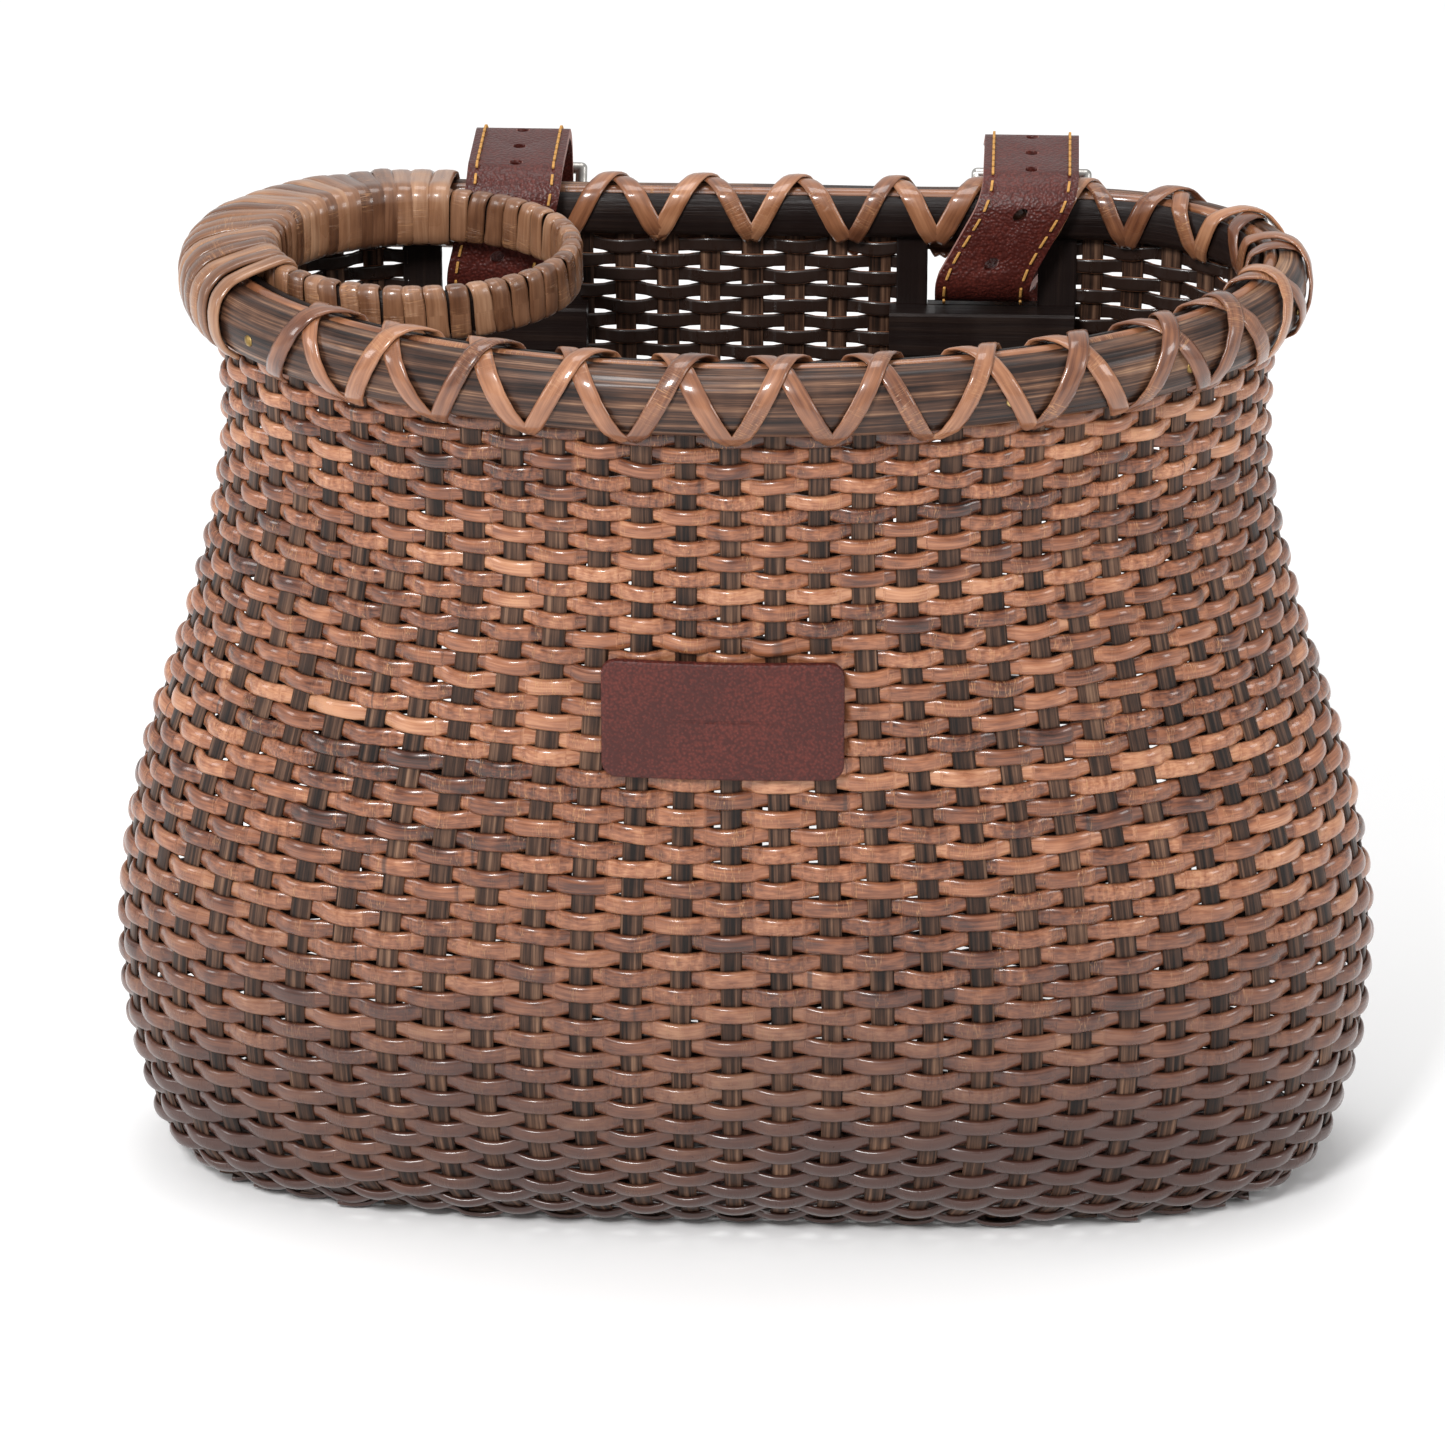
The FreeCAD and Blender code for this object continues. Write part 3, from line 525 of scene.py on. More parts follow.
def bamboo_material(name, stops, rough_low=0.38, rough_high=0.6, coat=0.06, fibre_count=58.0):
    """Split bamboo: fine long fibres, light and dark."""
    paint = Paint(name)
    strip, _ = paint.strip_coordinates(57.0)
    fibres = paint.strip_noise(strip, 0.018, fibre_count, 4.0, 0.7)
    bands = paint.strip_noise(strip, 0.012, 9.0, 2.0)
    wear = paint.strip_noise(strip, 0.07, 1.0, 3.0)
    tone = paint.math("ADD", paint.math("MULTIPLY", fibres, 0.75), paint.math("MULTIPLY", bands, 0.5))
    tone = paint.math("ADD", tone, paint.math("MULTIPLY", wear, 0.25))
    tone = paint.math("SUBTRACT", tone, 0.28)
    colour = paint.ramp(tone, stops)
    rough = paint.span(wear, 0.3, 0.7, rough_low, rough_high)
    return paint.finish(colour, rough, paint.bump(fibres, 0.6, 0.0003), coat, 0.25, 0.2)


def leather_material(name, dark, light, rough_low, rough_high):
    """Dyed leather with a fine pebbled grain and slow changes of tone."""
    paint = Paint(name)
    spot = paint.place()
    cells = paint.node("ShaderNodeTexVoronoi", feature="SMOOTH_F1")
    paint.put(spot, cells.inputs["Vector"])
    cells.inputs["Scale"].default_value = PEBBLE_SCALE
    cloud = paint.noise(spot, 55.0, 4.0)
    grain = paint.noise(spot, GRAIN_SCALE, 3.0)
    pits = paint.span(cells.outputs["Distance"], 0.1, 0.6)
    tone = paint.math("ADD", paint.math("MULTIPLY", cloud, 0.45), paint.math("MULTIPLY", grain, 0.15))
    tone = paint.math("ADD", tone, paint.math("MULTIPLY", pits, -0.32))
    colour = paint.mix(paint.span(tone, 0.02, 0.34), dark, light)
    rough = paint.span(cloud, 0.3, 0.7, rough_low, rough_high)
    relief = paint.bump(cells.outputs["Distance"], 0.80, 0.00040)
    relief = paint.bump(grain, 0.18, 0.00010, relief)
    return paint.finish(colour, rough, relief, 0.05, 0.35, 0.3)


def fibre_material(name, dark, light):
    """Raw leather edge or waxed thread: matt and short-fibred."""
    paint = Paint(name)
    fibres = paint.noise(paint.place(), 1500.0, 3.0)
    colour = paint.mix(paint.span(fibres, 0.3, 0.7), dark, light)
    rough = paint.span(fibres, 0.3, 0.7, 0.6, 0.85)
    return paint.finish(colour, rough, paint.bump(fibres, 0.35, 0.00012))


def metal_material(name, dark, light, rough_low, rough_high):
    """Dulled metal with faint scratches and tarnish."""
    paint = Paint(name)
    spot = paint.place()
    tarnish = paint.noise(spot, 260.0, 5.0)
    marks = paint.noise(spot, 1400.0, 2.0)
    colour = paint.mix(paint.span(tarnish, 0.35, 0.7), dark, light)
    rough = paint.span(tarnish, 0.3, 0.7, rough_high, rough_low)
    return paint.finish(colour, rough, paint.bump(marks, 0.12, 0.00006), metallic=1.0)


# The weavers carry painted shade near the floor and on their inner faces.
WEAVER = cane_material("weaver_cane", [(0.10, (0.014, 0.004, 0.002)), (0.30, (0.072, 0.020, 0.009)),
                                       (0.46, (0.165, 0.054, 0.023)), (0.62, (0.279, 0.104, 0.048)),
                                       (0.84, (0.440, 0.208, 0.109))],
                       floor_shade=1.25, coat=0.45, shade_inside_from=0.76)
LASHING = cane_material("lashing_cane", [(0.08, (0.028, 0.009, 0.005)), (0.32, (0.113, 0.039, 0.018)),
                                         (0.60, (0.247, 0.099, 0.045)), (0.95, (0.448, 0.218, 0.113))],
                        coat=0.6)
RING_CANE = cane_material("ring_cane", [(0.0, (0.040, 0.016, 0.009)), (0.35, (0.120, 0.050, 0.024)),
                                        (0.65, (0.230, 0.108, 0.055)), (1.0, (0.400, 0.225, 0.130))])
STAKE = bamboo_material("stake_bamboo", [(0.34, (0.006, 0.003, 0.002)), (0.45, (0.032, 0.015, 0.009)),
                                         (0.55, (0.085, 0.043, 0.026)), (0.68, (0.200, 0.112, 0.068))],
                        fibre_count=14.0)
HOOP = bamboo_material("hoop_bamboo", [(0.34, (0.008, 0.003, 0.002)), (0.46, (0.048, 0.021, 0.012)),
                                       (0.55, (0.125, 0.060, 0.034)), (0.68, (0.330, 0.190, 0.110))],
                       coat=0.30, fibre_count=27.0)
DARK_BAMBOO = bamboo_material("dark_bamboo", [(0.0, (0.004, 0.002, 0.002)), (0.5, (0.011, 0.006, 0.005)),
                                              (1.0, (0.040, 0.023, 0.016))], 0.3, 0.5)
LEATHER = leather_material("strap_leather", (0.050, 0.0085, 0.006), (0.100, 0.018, 0.012), 0.34, 0.48)
PATCH_LEATHER = leather_material("patch_leather", (0.044, 0.0065, 0.0045), (0.102, 0.017, 0.011), 0.42, 0.56)
RAW_EDGE = fibre_material("raw_leather_edge", (0.200, 0.085, 0.070), (0.360, 0.190, 0.160))
THREAD = fibre_material("ochre_thread", (0.330, 0.150, 0.030), (0.560, 0.290, 0.070))
BRASS = metal_material("aged_brass", (0.230, 0.150, 0.050), (0.520, 0.370, 0.150), 0.3, 0.55)
NICKEL = metal_material("dulled_nickel", (0.300, 0.285, 0.265), (0.560, 0.545, 0.520), 0.25, 0.45)


# ------------------------------------------------------------------ woven wall

def in_window(points):
    """Whether points lie in the openings and posts of the back wall's windows."""
    hit = np.zeros(len(points), dtype=bool)
    for x, low_post, high_post in WINDOWS.values():
        left = x - WINDOW_HALF - low_post + POST_COVER
        right = x + WINDOW_HALF + high_post - POST_COVER
        across = (points[:, 0] > left) & (points[:, 0] < right)
        in_wall = (points[:, 1] > BACK_DEPTH - WINDOW_REACH) & (points[:, 2] > WINDOW_BOTTOM)
        hit |= across & in_wall
    return hit


def row_pitch(height):
    """Distance from one weaver row to the next, along the wall."""
    return float(np.interp(height, PITCH_LEVELS, ROW_PITCHES))


def wave(count, strength, turns):
    """Smooth closed wander round a row: a few sine waves with random phases."""
    angle = np.linspace(0, 2 * math.pi, count, endpoint=False)
    total = np.zeros(count)
    for turn in turns:
        total += np.sin(angle * turn + RNG.uniform(0, 2 * math.pi)) * RNG.normal(0, 1)
    return total * strength / math.sqrt(len(turns))


def row_heights():
    """Heights of the weaver rows, closer together where the wall leans."""
    heights = []
    height = FIRST_ROW
    while height < ROWS_TOP:
        heights.append(height)
        level = np.array([height, height + 1.0])
        slope = float(np.diff(smooth_levels(level)[:, 0])[0])
        height += row_pitch(height) / math.hypot(1.0, slope * 0.6)
    return heights


def weave_row(pile, height, parity):
    """One weaver row, passing outside and inside the stakes in turn."""
    count = STAKES * STEPS_PER_STAKE
    share = np.arange(count) / count
    phase = share * STAKES * math.pi + parity * math.pi
    swing = np.cos(phase)
    swing = np.sign(swing) * np.abs(swing) ** SWING_POWER
    wander = wave(count, 0.28, (7, 13, 22, 41))
    centre, out, up = wall_frame(height + wander, share)
    centre = centre + out * (WALL_MIDDLE + swing * WEAVER_SWING + WEAVER_OFFSET)[:, None]
    strand = np.floor(share * STAKES + parity + 0.5).astype(int)
    strand_tint = RNG.uniform(0.0, 1.0, STAKES + 3)[strand]
    run_tint = 0.5 + wave(count, 0.35, (1, 2, 3, 5))
    tint = np.clip(0.38 * strand_tint + 0.62 * run_tint, 0, 1)
    front = np.clip(0.5 - centre[:, 1] / FRONT_BLEND, 0, 1)
    between = WIDTH_BETWEEN_BACK + (WIDTH_BETWEEN_FRONT - WIDTH_BETWEEN_BACK) * front
    share_of_pitch = between + (WIDTH_AT_STAKE - between) * np.abs(swing)
    width = row_pitch(height) * share_of_pitch * (1 + wave(count, 0.035, (17, 29, 53)))
    pile.strip(centre, out, -up, width, WEAVER_THICK, half_round(), tint, closed=True)


def make_weave():
    """Weaver rows in bands; every band is one piece."""
    heights = row_heights()
    for band, start in enumerate(range(0, len(heights), ROWS_PER_BAND)):
        pile = Pile()
        for row in range(start, min(start + ROWS_PER_BAND, len(heights))):
            weave_row(pile, heights[row], row % 2)
        pile.drop(in_window)
        replaced = ("woven_wall",) if band == 0 else ()
        pile.build("weave_rows_%02d" % band, WEAVER, replaced)


def make_stakes():
    """Upright bamboo stakes, from the base to between the hoops."""
    pile = Pile()
    heights = np.linspace(STAKE_FOOT, STAKE_TOP, 70)
    for stake in range(STAKES):
        share = np.full(len(heights), stake / STAKES)
        centre, out, up = wall_frame(heights, share)
        side = np.cross(up, out)
        centre = centre + out * WALL_MIDDLE
        narrow = np.interp(heights, [0, 90, 250], [0.86, 1.0, 0.95])
        width = STAKE_WIDTH * narrow * RNG.uniform(0.93, 1.07)
        pile.strip(centre, out, side, width, STAKE_THICK, flat_strip(), RNG.uniform(0, 1))
    pile.drop(in_window)
    pile.build("stakes", STAKE)


def base_chord(y):
    """Half length of the base along X at a place in Y."""
    if y >= 0:
        reach = CORNER_RUN * math.sqrt(max(0.0, 1 - (y / BASE_BACK) ** 2))
        return BASE_HALF - CORNER_RUN + reach
    return BASE_HALF * max(0.0, 1 - abs(y / BASE_FRONT) ** BASE_SQUARE) ** (1 / BASE_SQUARE)


def make_base():
    """Woven base: strips along X passing over and under strips along Y."""
    pile = Pile()
    crosswise = np.arange(-BASE_STAKE_REACH, BASE_STAKE_REACH + 1, BASE_STAKE_PITCH)
    for x in crosswise:
        ys = np.linspace(-BASE_FRONT, BASE_BACK, 60)
        ys = ys[[base_chord(y) > abs(x) for y in ys]]
        centre = np.column_stack([np.full(len(ys), x), ys, np.full(len(ys), BASE_LEVEL)])
        out = np.tile([0.0, 0.0, -1.0], (len(ys), 1))
        side = np.tile([1.0, 0.0, 0.0], (len(ys), 1))
        pile.strip(centre, out, side, STAKE_WIDTH * 1.15, STAKE_THICK, flat_strip(), RNG.uniform(0, 1))
    pile.build("base_stakes", STAKE)
    pile = Pile()
    for index, y in enumerate(np.arange(3 - BASE_FRONT, BASE_BACK, BASE_ROW_PITCH)):
        reach = base_chord(y) - 1.0
        xs = np.linspace(-reach, reach, 170)
        swing = np.cos((xs - crosswise[0]) / BASE_STAKE_PITCH * math.pi + index * math.pi)
        swing = np.sign(swing) * np.abs(swing) ** 0.6
        centre = np.column_stack([xs, np.full(len(xs), y), BASE_LEVEL - swing * BASE_SWING])
        out = np.tile([0.0, 0.0, -1.0], (len(xs), 1))
        side = np.tile([0.0, 1.0, 0.0], (len(xs), 1))
        pile.strip(centre, out, side, BASE_ROW_WIDTH, BASE_ROW_THICK, half_round(8), RNG.uniform(0.1, 0.8))
    pile.build("base_weave", WEAVER, ("base_panel",))


# ------------------------------------------------------------------ rim

def rim_frame(share):
    """Points on the rim's outline with outward directions and straight-up directions."""
    centre, out, _ = wall_frame(RIM_LEVEL, share)
    upright = np.tile([0.0, 0.0, 1.0], (len(share), 1))
    out[:, 2] = 0
    return centre, unit(out), upright


def rim_ring(name, offset, height, width, thick, profile, material, node, fray):
    """A closed hoop along the rim with long splits worked into its section."""
    count = 720
    share = np.arange(count) / count
    centre, out, up = rim_frame(share)
    centre = centre + out * offset
    centre[:, 2] = height
    pile = Pile()
    pile.strip(centre, out, up, width * (1 + wave(count, fray * 0.2, (3, 5, 9))), thick, profile, 0.5,
               closed=True)
    points = pile.points[0].reshape(count, len(profile), 3)
    for j in range(len(profile)):
        points[:, j] += out * wave(count, fray, (2, 6, 11, 23))[:, None]
    pile.points[0] = points.reshape(-1, 3)
    return pile.build(name, material, (node,))


def split_round():
    """Half-round section with shallow lengthwise grooves between its splits."""
    count = 30
    turn = np.linspace(0, math.pi, count)
    groove = 1 - 0.030 * (np.arange(count) % 5 == 2)
    dome = [(-0.5 * math.cos(t) * g, -0.5 + math.sin(t) ** 0.62 * g) for t, g in zip(turn, groove)]
    return np.array(dome + [(0.3, -0.5), (-0.3, -0.5)])


def make_hoops():
    """Outer hoop, inner hoop and the cane that lies on the wall's top edge."""
    rim_ring("outer_hoop", 3.8, 246.5, 17.0, 7.3, split_round(), HOOP, "rim_outer_hoop", 0.09)
    rim_ring("inner_hoop", -5.7, 249.0, 11.0, 3.0, flat_strip(), DARK_BAMBOO,
             "rim_inner_hoop", 0.05)
    rim_ring("top_cane", -2.0, 253.4, 4.2, 3.7, round_rod(), LASHING, "rim_top_cane", 0.05)


# The lashing's path over the rim: distance out from the wall's surface, and height.
RIM_PROFILE = np.array([(2.6, 236.0), (6.6, 239.0), (8.4, 243.0), (8.7, 247.5), (7.4, 252.0), (4.2, 255.5),
                        (0.0, 256.9), (-4.0, 256.7), (-7.4, 255.2), (-8.2, 251.5), (-8.2, 246.0),
                        (-6.4, 242.4)])


def smooth_profile(corners, count):
    """Even points along a profile with its corners rounded, and their facing directions."""
    run = np.concatenate([[0], np.cumsum(np.linalg.norm(np.diff(corners, axis=0), axis=1))])
    fine_count, blend = 400, 41
    fine = np.linspace(0, run[-1], fine_count)
    line = np.stack([np.interp(fine, run, corners[:, 0]), np.interp(fine, run, corners[:, 1])], axis=1)
    window = np.hanning(blend)
    window /= window.sum()
    margin = blend // 2
    padded = np.vstack([np.repeat(line[:1], margin, axis=0), line, np.repeat(line[-1:], margin, axis=0)])
    line = np.stack([np.convolve(padded[:, k], window, "valid") for k in (0, 1)], axis=1)
    pick = np.linspace(0, fine_count - 1, count).round().astype(int)
    along = np.gradient(line, axis=0)[pick]
    facing = np.stack([along[:, 1], -along[:, 0]], axis=1)
    facing /= np.linalg.norm(facing, axis=1, keepdims=True)
    return line[pick], facing


def over_rim(pile, start, end, profile, facing, width, thick, tint, lift=0.0):
    """A flat strip laid over the rim while it moves on from one share to another."""
    count = len(profile)
    share = np.linspace(start, end, count)
    base, out, up = rim_frame(share)
    hump = np.exp(-((np.linspace(0, 1, count) - 0.5) / CROSSING_SPREAD) ** 2) * lift
    centre = base.copy()
    centre[:, 2] = 0
    centre = centre + out * (profile[:, 0] + facing[:, 0] * hump)[:, None]
    centre = centre + up * (profile[:, 1] + facing[:, 1] * hump)[:, None]
    face = unit(out * facing[:, :1] + up * facing[:, 1:])
    along = unit(np.gradient(centre, axis=0))
    face = unit(face - along * np.sum(face * along, axis=1, keepdims=True))
    pile.strip(centre, face, np.cross(face, along), width, thick, flat_strip(), tint)


def bound_share(share):
    """Whether a share of the rim lies under the cup ring's binding."""
    point = rim_frame(np.array([share % 1.0]))[0][0]
    return point[0] < BINDING_X + 1 and point[1] > BINDING_Y - 2


def make_lashing():
    """Two strips zigzag over the rim in opposite ways and cross on its crest."""
    pile = Pile()
    profile, facing = smooth_profile(RIM_PROFILE, 44)
    for index in range(LASHINGS):
        begin, end = index / LASHINGS, (index + 1) / LASHINGS
        if bound_share(begin) or bound_share(end):
            continue
        slip = RNG.normal(0, 0.0012, 3)
        width = LASHING_WIDTH * RNG.uniform(0.9, 1.1, 2)
        over_rim(pile, begin + slip[0], end + slip[1], profile, facing, width[0], LASHING_THICK,
                 RNG.uniform(0.2, 0.9), CROSSING_LIFT)
        over_rim(pile, end + slip[0], begin + slip[2], profile, facing, width[1], LASHING_THICK,
                 RNG.uniform(0.1, 0.8))
    pile.build("rim_lashing_strips", LASHING, ("rim_lashing",))


def make_nails():
    """Small domed brass nails in the outer hoop."""
    pile = Pile()
    for index in range(1, 2 * LASHINGS, 4):
        share = (index + 0.5) / (2 * LASHINGS)
        if bound_share(share):
            continue
        centre, out, up = rim_frame(np.array([share]))
        centre[0, 2] = NAIL_LEVEL
        line = centre + out * (NAIL_OFFSET + NAIL_DEPTHS)[:, None]
        rings = len(NAIL_DEPTHS)
        side = np.repeat(np.cross(up, out), rings, axis=0)
        pile.strip(line, np.repeat(up, rings, axis=0), side, NAIL_RADII * 2, NAIL_RADII * 2,
                   round_rod(), 0.5)
    pile.build("rim_nail_heads", BRASS, ("rim_nails",))


# ------------------------------------------------------------------ cup ring

def ring_section(grow):
    """Rounded rectangle round the ring's section: radius and height, clockwise from the inside."""
    half_wide = (CUP_OUTER - CUP_INNER) / 2 + grow
    half_tall = (CUP_HIGH - CUP_LOW) / 2 + grow
    turn = np.linspace(0, 2 * math.pi, SECTION_POINTS, endpoint=False)
    power = 0.5
    wide = np.sign(np.cos(turn)) * np.abs(np.cos(turn)) ** power * half_wide
    tall = np.sign(np.sin(turn)) * np.abs(np.sin(turn)) ** power * half_tall
    return np.stack([wide, tall], axis=1)


def ring_directions(turns):
    """Directions straight out from the ring's middle and straight up, at angles round it."""
    radial = np.stack([np.cos(turns), np.sin(turns), np.zeros(len(turns))], axis=1)
    return radial, np.tile([0.0, 0.0, 1.0], (len(turns), 1))


def make_ring():
    """Cup ring: a dark core hoop under strips wound round it side by side."""
    core = Pile()
    radial, up = ring_directions(np.linspace(0, 2 * math.pi, CORE_POINTS, endpoint=False))
    core.strip(RING_CENTRE + radial * RING_MIDDLE, radial, up, 11.2, 3.0, flat_strip(), 0.4, closed=True)
    core.build("ring_core", DARK_BAMBOO, ("cup_ring_core",))
    wraps = Pile()
    section = ring_section(-0.5)
    weights = [section[:, 0] * 3.0, section[:, 1], np.zeros(SECTION_POINTS)]
    normal = unit(np.column_stack(weights))[:, :2]
    share = np.linspace(-0.5, 0.5, SECTION_POINTS, endpoint=False)
    for index in range(RING_WRAPS):
        angle = (index + RNG.normal(0, 0.05)) / RING_WRAPS * 2 * math.pi
        slant = RNG.normal(0.02, 0.008)
        radial, up = ring_directions(angle + slant * np.sin(share * 2 * math.pi))
        line = RING_CENTRE + radial * RING_MIDDLE + radial * section[:, :1] + up * section[:, 1:]
        face = unit(radial * normal[:, :1] + up * normal[:, 1:])
        along = unit(np.roll(line, -1, axis=0) - np.roll(line, 1, axis=0))
        face = unit(face - along * np.sum(face * along, axis=1, keepdims=True))
        spread = (RING_MIDDLE + section[:, 0]) * 2 * math.pi / RING_WRAPS
        width = spread * RNG.uniform(0.90, 0.97)
        wraps.strip(line, face, np.cross(face, along), width, WRAP_THICK, flat_strip(),
                    RNG.uniform(0.2, 0.9), closed=True)
    wraps.build("ring_wrap", RING_CANE, ("cup_ring_wrap",))


def make_binding():
    """Strips wound side by side over the rim and the cup ring where they meet."""
    pile = Pile()
    for index in range(BINDING_STEPS):
        share = index / BINDING_STEPS
        base, out, _ = rim_frame(np.array([share]))
        point = base[0]
        if point[0] > BINDING_X or point[1] < BINDING_Y:
            continue
        away = np.array([point[0] - CUP_X, point[1] - CUP_Y])
        along = away @ -out[0, :2]
        spare = along**2 - away @ away + CUP_INNER**2
        near = float(np.clip(along + math.sqrt(max(spare, 30.0)), -26.0, -8.6))
        corners = np.array([(2.6, 236.0), (6.8, 239.0), (8.7, 243.5), (9.0, 248.5), (7.8, 253.0),
                            (4.2, 256.3), (-2.0, 258.0), (near + 2.0, 260.1), (near - 0.6, 258.8),
                            (near - 0.9, 252.0), (near - 0.6, 245.8), (near + 2.2, 244.2)])
        profile, facing = smooth_profile(corners, 40)
        drift = RNG.normal(0.0, 0.0016)
        over_rim(pile, share + drift, share - drift * 0.6, profile, facing,
                 BINDING_WIDTH * RNG.uniform(0.86, 1.08), BINDING_THICK, RNG.uniform(0.1, 1.0),
                 RNG.uniform(0.0, 1.0))
    pile.build("ring_binding", RING_CANE, ("cup_ring_binding",))


# ------------------------------------------------------------------ windows and patch

def block_strip(pile, low, high):
    """One squared bamboo block between two corners, with eased, slightly uneven edges."""
    size = high - low
    axis = int(np.argmax(size))
    others = [k for k in range(3) if k != axis]
    count = 24
    centre = np.tile((low + high) / 2, (count, 1))
    centre[:, axis] = np.linspace(low[axis] + 0.05, high[axis] - 0.05, count)
    side = np.tile(np.eye(3)[others[0]], (count, 1))
    out = np.tile(np.eye(3)[others[1]], (count, 1))
    ease = 0.44
    section = np.array([(-0.5, -ease), (-0.5, ease), (-ease, 0.5), (ease, 0.5), (0.5, ease),
                        (0.5, -ease), (ease, -0.5), (-ease, -0.5)])
    wide = size[others[0]] * (1 + wave(count, 0.006, (2, 3, 5)))
    pile.strip(centre, out, side, wide, size[others[1]], section, RNG.uniform(0, 1))


def wood_piece(node, blocks):
    """A window post or sill made of squared blocks."""
    pile = Pile()
    for low, high in blocks:
        block_strip(pile, low, high)
    piece = pile.build("wood_" + node, DARK_BAMBOO, (node,))
    for polygon in piece.data.polygons:
        polygon.use_smooth = False


def make_windows():
    """Posts beside both windows; each sill is a ledge inside the wall and a tongue through it."""
    for side in ("left", "right"):
        for post in ("_window_outer_post", "_window_inner_post"):
            low, high = (np.array(corner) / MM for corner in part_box(side + post))
            wood_piece(side + post, [(low, high)])
        node = side + "_window_sill"
        low, high = (np.array(corner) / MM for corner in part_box(node))
        inner_face = high[1] - WALL_THICK
        middle = WINDOWS[side][0]
        ledge = (low, np.array([high[0], inner_face, high[2]]))
        tongue = (np.array([middle - WINDOW_HALF, inner_face, WINDOW_BOTTOM]),
                  np.array([middle + WINDOW_HALF, high[1], high[2]]))
        wood_piece(node, [ledge, tongue])


def wall_point(x, height, offset):
    """Point on the wall's bowed front at an X and a height, some way off its surface."""
    half, depth, square = smooth_levels(np.array([float(height)]))[0]
    half, depth = half + offset, depth + offset
    y = -depth * (1 - abs(x / half) ** square) ** (1 / square)
    return np.array([x, y, height])


def make_patch():
    """Plain leather patch with rounded corners, bent to the front; no mark on it."""
    low, high = (np.array(corner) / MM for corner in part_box("label_patch"))
    middle = (low + high) / 2
    half = (high - low) / 2 * PATCH_SHARE
    edge = []
    for cx, cz, start in ((1, 1, 0), (-1, 1, 90), (-1, -1, 180), (1, -1, 270)):
        for angle in np.radians(np.linspace(start, start + 90, 9)):
            edge.append((cx * (half[0] - PATCH_CORNER) + PATCH_CORNER * math.cos(angle),
                         cz * (half[2] - PATCH_CORNER) + PATCH_CORNER * math.sin(angle)))
    edge = np.array(edge)
    edge = np.vstack([np.linspace(edge[i], edge[(i + 1) % len(edge)], 4, endpoint=False)
                      for i in range(len(edge))])
    mesh = bmesh.new()
    loops = []
    for inset, offset in PATCH_RINGS:
        ring = edge * np.array([1 - inset / half[0], 1 - inset / half[2]])
        places = [wall_point(middle[0] + x, middle[2] + z, offset) for x, z in ring]
        loops.append([mesh.verts.new(place * MM) for place in places])
    for first, second in zip(loops, loops[1:]):
        for i in range(len(edge)):
            j = (i + 1) % len(edge)
            mesh.faces.new((first[i], first[j], second[j], second[i]))
    mesh.faces.new(loops[-1])
    bmesh.ops.recalc_face_normals(mesh, faces=mesh.faces)
    data = bpy.data.meshes.new("leather_patch")
    mesh.to_mesh(data)
    mesh.free()
    for polygon in data.polygons:
        polygon.use_smooth = True
    piece = bpy.data.objects.new("leather_patch", data)
    bpy.context.collection.objects.link(piece)
    finish_piece(piece, PATCH_LEATHER, ("label_patch",))


# ------------------------------------------------------------------ straps

def lean(points, side):
    """Skew a strap sideways as it climbs from its window to the handlebar, in metres."""
    start, more = STRAP_LEANS[side]
    climb = np.clip((points[:, 2] / MM - 230) / 32, 0, 1)
    back = np.clip((points[:, 1] / MM - 50) / 30, 0, 1)
    share = np.maximum(climb, back)
    share = share * share * (3 - 2 * share)
    points[:, 0] += (start + more * share) * MM
    return points


def leaned_copy(name, node, side, body, materials, bevel):
    """A copy of a CAD node with eased edges, skewed with its strap."""
    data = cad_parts[node].data.copy()
    data.name = name
    data.materials.clear()
    for material in materials:
        data.materials.append(material)
    mesh = bmesh.new()
    mesh.from_mesh(data)
    bmesh.ops.remove_doubles(mesh, verts=mesh.verts, dist=0.00001)
    bmesh.ops.dissolve_limit(mesh, angle_limit=math.radians(0.6), verts=mesh.verts, edges=mesh.edges)
    sharp = [edge for edge in mesh.edges
             if len(edge.link_faces) == 2 and edge.calc_face_angle(0.0) > math.radians(50)]
    if bevel > 0:
        bmesh.ops.bevel(mesh, geom=sharp, offset=bevel * MM, segments=2, profile=0.6, affect="EDGES",
                        clamp_overlap=True)
    bmesh.ops.triangulate(mesh, faces=mesh.faces)
    mesh.to_mesh(data)
    mesh.free()
    points = np.empty(len(data.vertices) * 3)
    data.vertices.foreach_get("co", points)
    data.vertices.foreach_set("co", lean(points.reshape(-1, 3), side).ravel())
    data.update()
    piece = bpy.data.objects.new(name, data)
    bpy.context.collection.objects.link(piece)
    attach(piece, body)
    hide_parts(node)
    return piece


def make_straps():
    """Both handlebar straps with edges, stitches, rivets, buckle and prong."""
    for side in ("left", "right"):
        body = side + "_strap"
        strap = leaned_copy(side + "_leather_strap", side + "_strap", side, body,
                            [LEATHER, RAW_EDGE], 0.35)
        for polygon in strap.data.polygons:
            polygon.use_smooth = True
            if abs(polygon.normal.x) > 0.85:
                polygon.material_index = 1
        strap.data.set_sharp_from_angle(angle=math.radians(38))
        thread = leaned_copy(side + "_thread", side + "_strap_stitching", side, body,
                             [THREAD], 0.2)
        rivets = leaned_copy(side + "_rivet_heads", side + "_strap_rivets", side, body,
                             [BRASS], 0.3)
        frame_piece = leaned_copy(side + "_buckle", side + "_buckle_frame", side, body,
                                  [NICKEL], 0.0)
        prong = leaned_copy(side + "_prong_pin", side + "_buckle_prong", side, side + "_prong",
                            [NICKEL], 0.15)
        for piece in (thread, rivets, frame_piece, prong):
            for polygon in piece.data.polygons:
                polygon.use_smooth = True
            piece.data.set_sharp_from_angle(angle=math.radians(45))


# ------------------------------------------------------------------ floor, light and camera

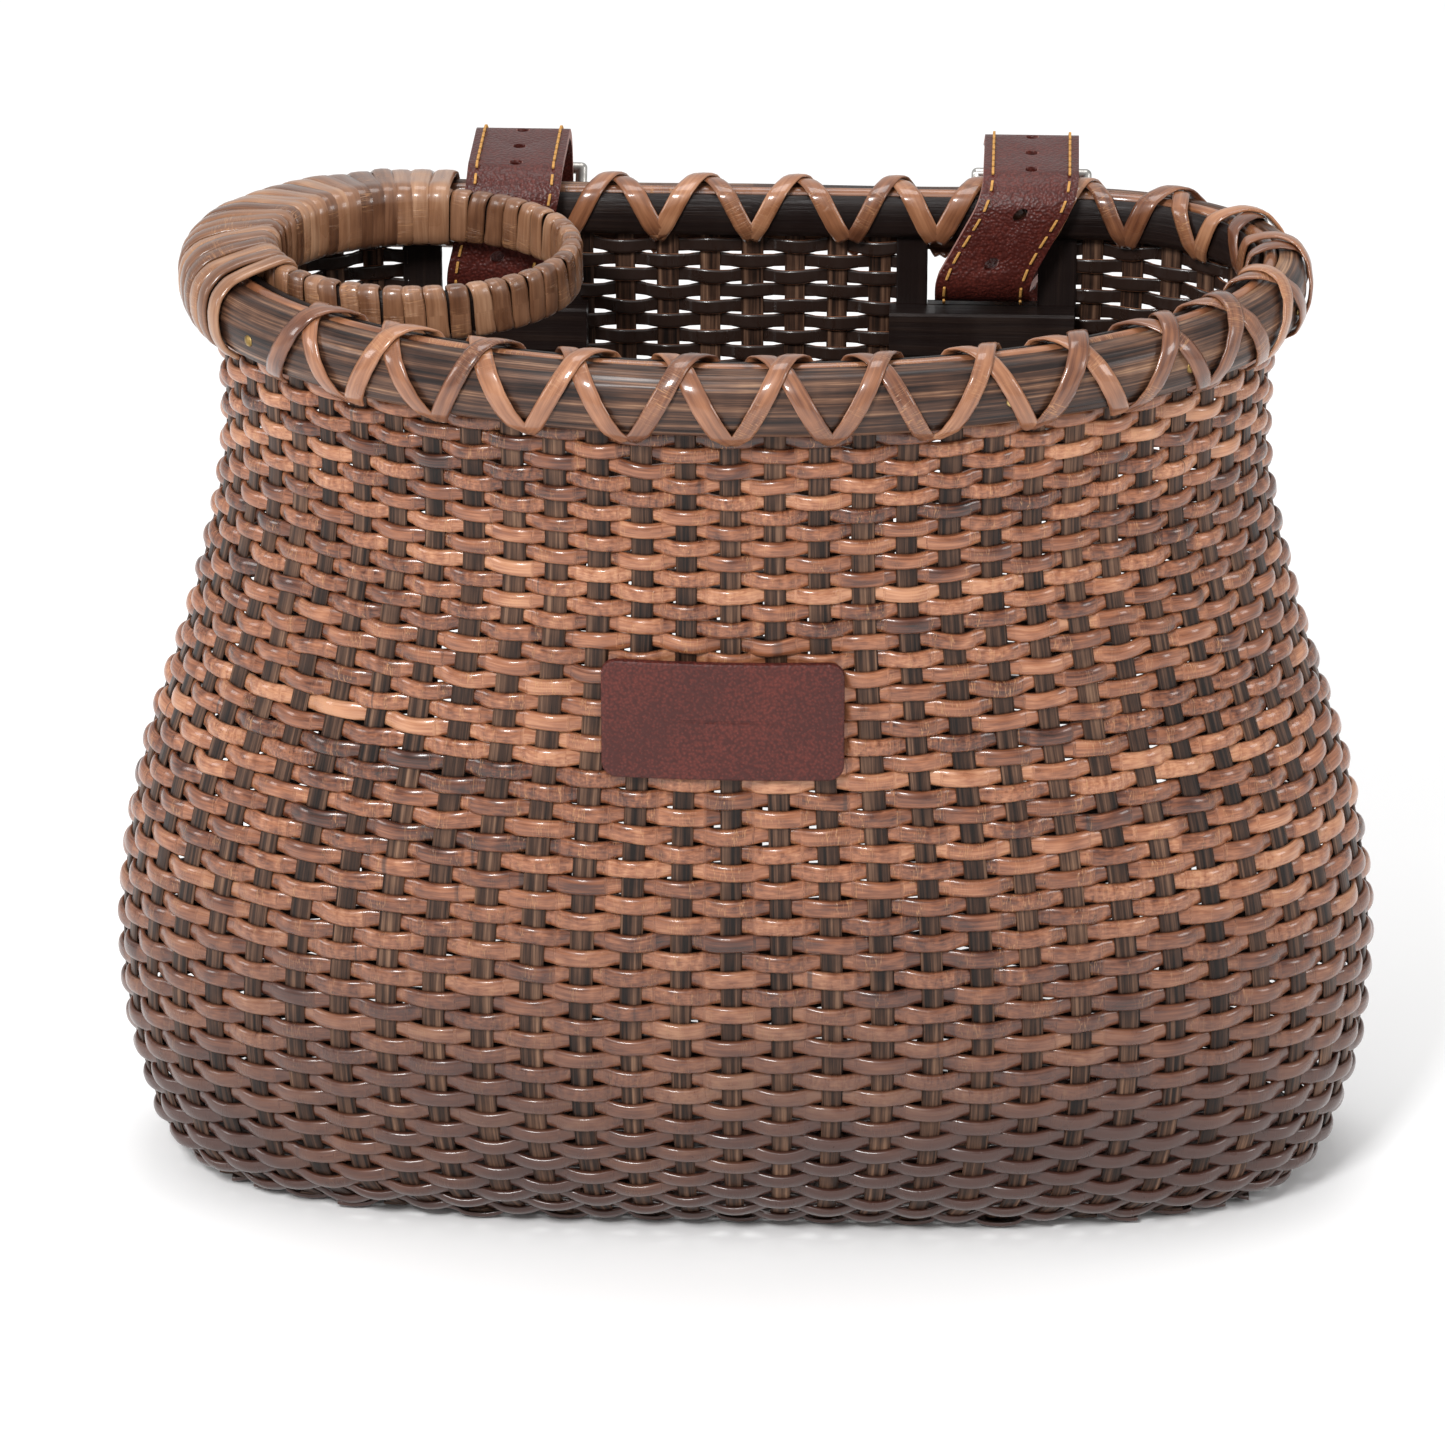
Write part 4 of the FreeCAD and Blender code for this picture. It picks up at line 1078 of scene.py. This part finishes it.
def floor_material():
    """Pale floor, very slightly uneven."""
    paint = Paint("pale_floor")
    cloud = paint.noise(paint.place(), 3.0, 2.0)
    colour = paint.mix(cloud, (0.86, 0.86, 0.86), (0.89, 0.89, 0.89))
    return paint.finish(colour, 0.7, paint.bump(cloud, 0.02))


def make_floor():
    """Wide pale floor under the basket."""
    bpy.ops.mesh.primitive_plane_add(size=12, location=(0, 0, -0.0002))
    floor = bpy.context.object
    floor.name = "floor"
    floor.data.materials.append(floor_material())


def soft_light(name, place, power, size):
    """Square soft light aimed at the basket's middle."""
    data = bpy.data.lights.new(name, "AREA")
    data.energy = power
    data.size = size
    lamp = bpy.data.objects.new(name, data)
    lamp.location = place
    aim = Vector((0, 0, 0.12)) - Vector(place)
    lamp.rotation_euler = aim.to_track_quat("-Z", "Y").to_euler()
    bpy.context.collection.objects.link(lamp)


def make_studio():
    """White surroundings, a key light, two side lights and one overhead."""
    world = bpy.data.worlds.new("studio")
    bpy.context.scene.world = world
    world.use_nodes = True
    background = world.node_tree.nodes["Background"]
    background.inputs[0].default_value = (1, 1, 1, 1)
    background.inputs[1].default_value = 0.72
    soft_light("key", (-0.45, -1.5, 1.35), 30.0, 0.42)
    soft_light("left_side", (-1.8, -0.5, 0.8), 9.0, 0.6)
    soft_light("right_side", (1.8, -0.6, 0.8), 9.0, 0.6)
    soft_light("top", (0.0, 0.3, 2.0), 14.0, 1.0)


def make_view():
    """Plain colour response, so that browns keep their depth and the floor stays pale."""
    view = bpy.context.scene.view_settings
    view.view_transform = "Standard"
    view.look = "None"


def make_camera():
    """Camera in front and above, a little to the right."""
    target = Vector(CAMERA_TARGET) * MM
    across, up = math.radians(CAMERA_ACROSS), math.radians(CAMERA_UP)
    way = Vector((math.sin(across) * math.cos(up), -math.cos(across) * math.cos(up), math.sin(up)))
    data = bpy.data.cameras.new("camera")
    data.lens = CAMERA_LENS
    data.sensor_width = SENSOR_WIDTH
    camera = bpy.data.objects.new("camera", data)
    camera.location = target + way * CAMERA_DISTANCE
    camera.rotation_euler = (-way).to_track_quat("-Z", "Y").to_euler()
    bpy.context.collection.objects.link(camera)
    bpy.context.scene.camera = camera


make_weave()
make_stakes()
make_base()
make_hoops()
make_lashing()
make_nails()
make_ring()
make_binding()
make_windows()
make_patch()
make_straps()
make_floor()
make_studio()
make_view()
make_camera()
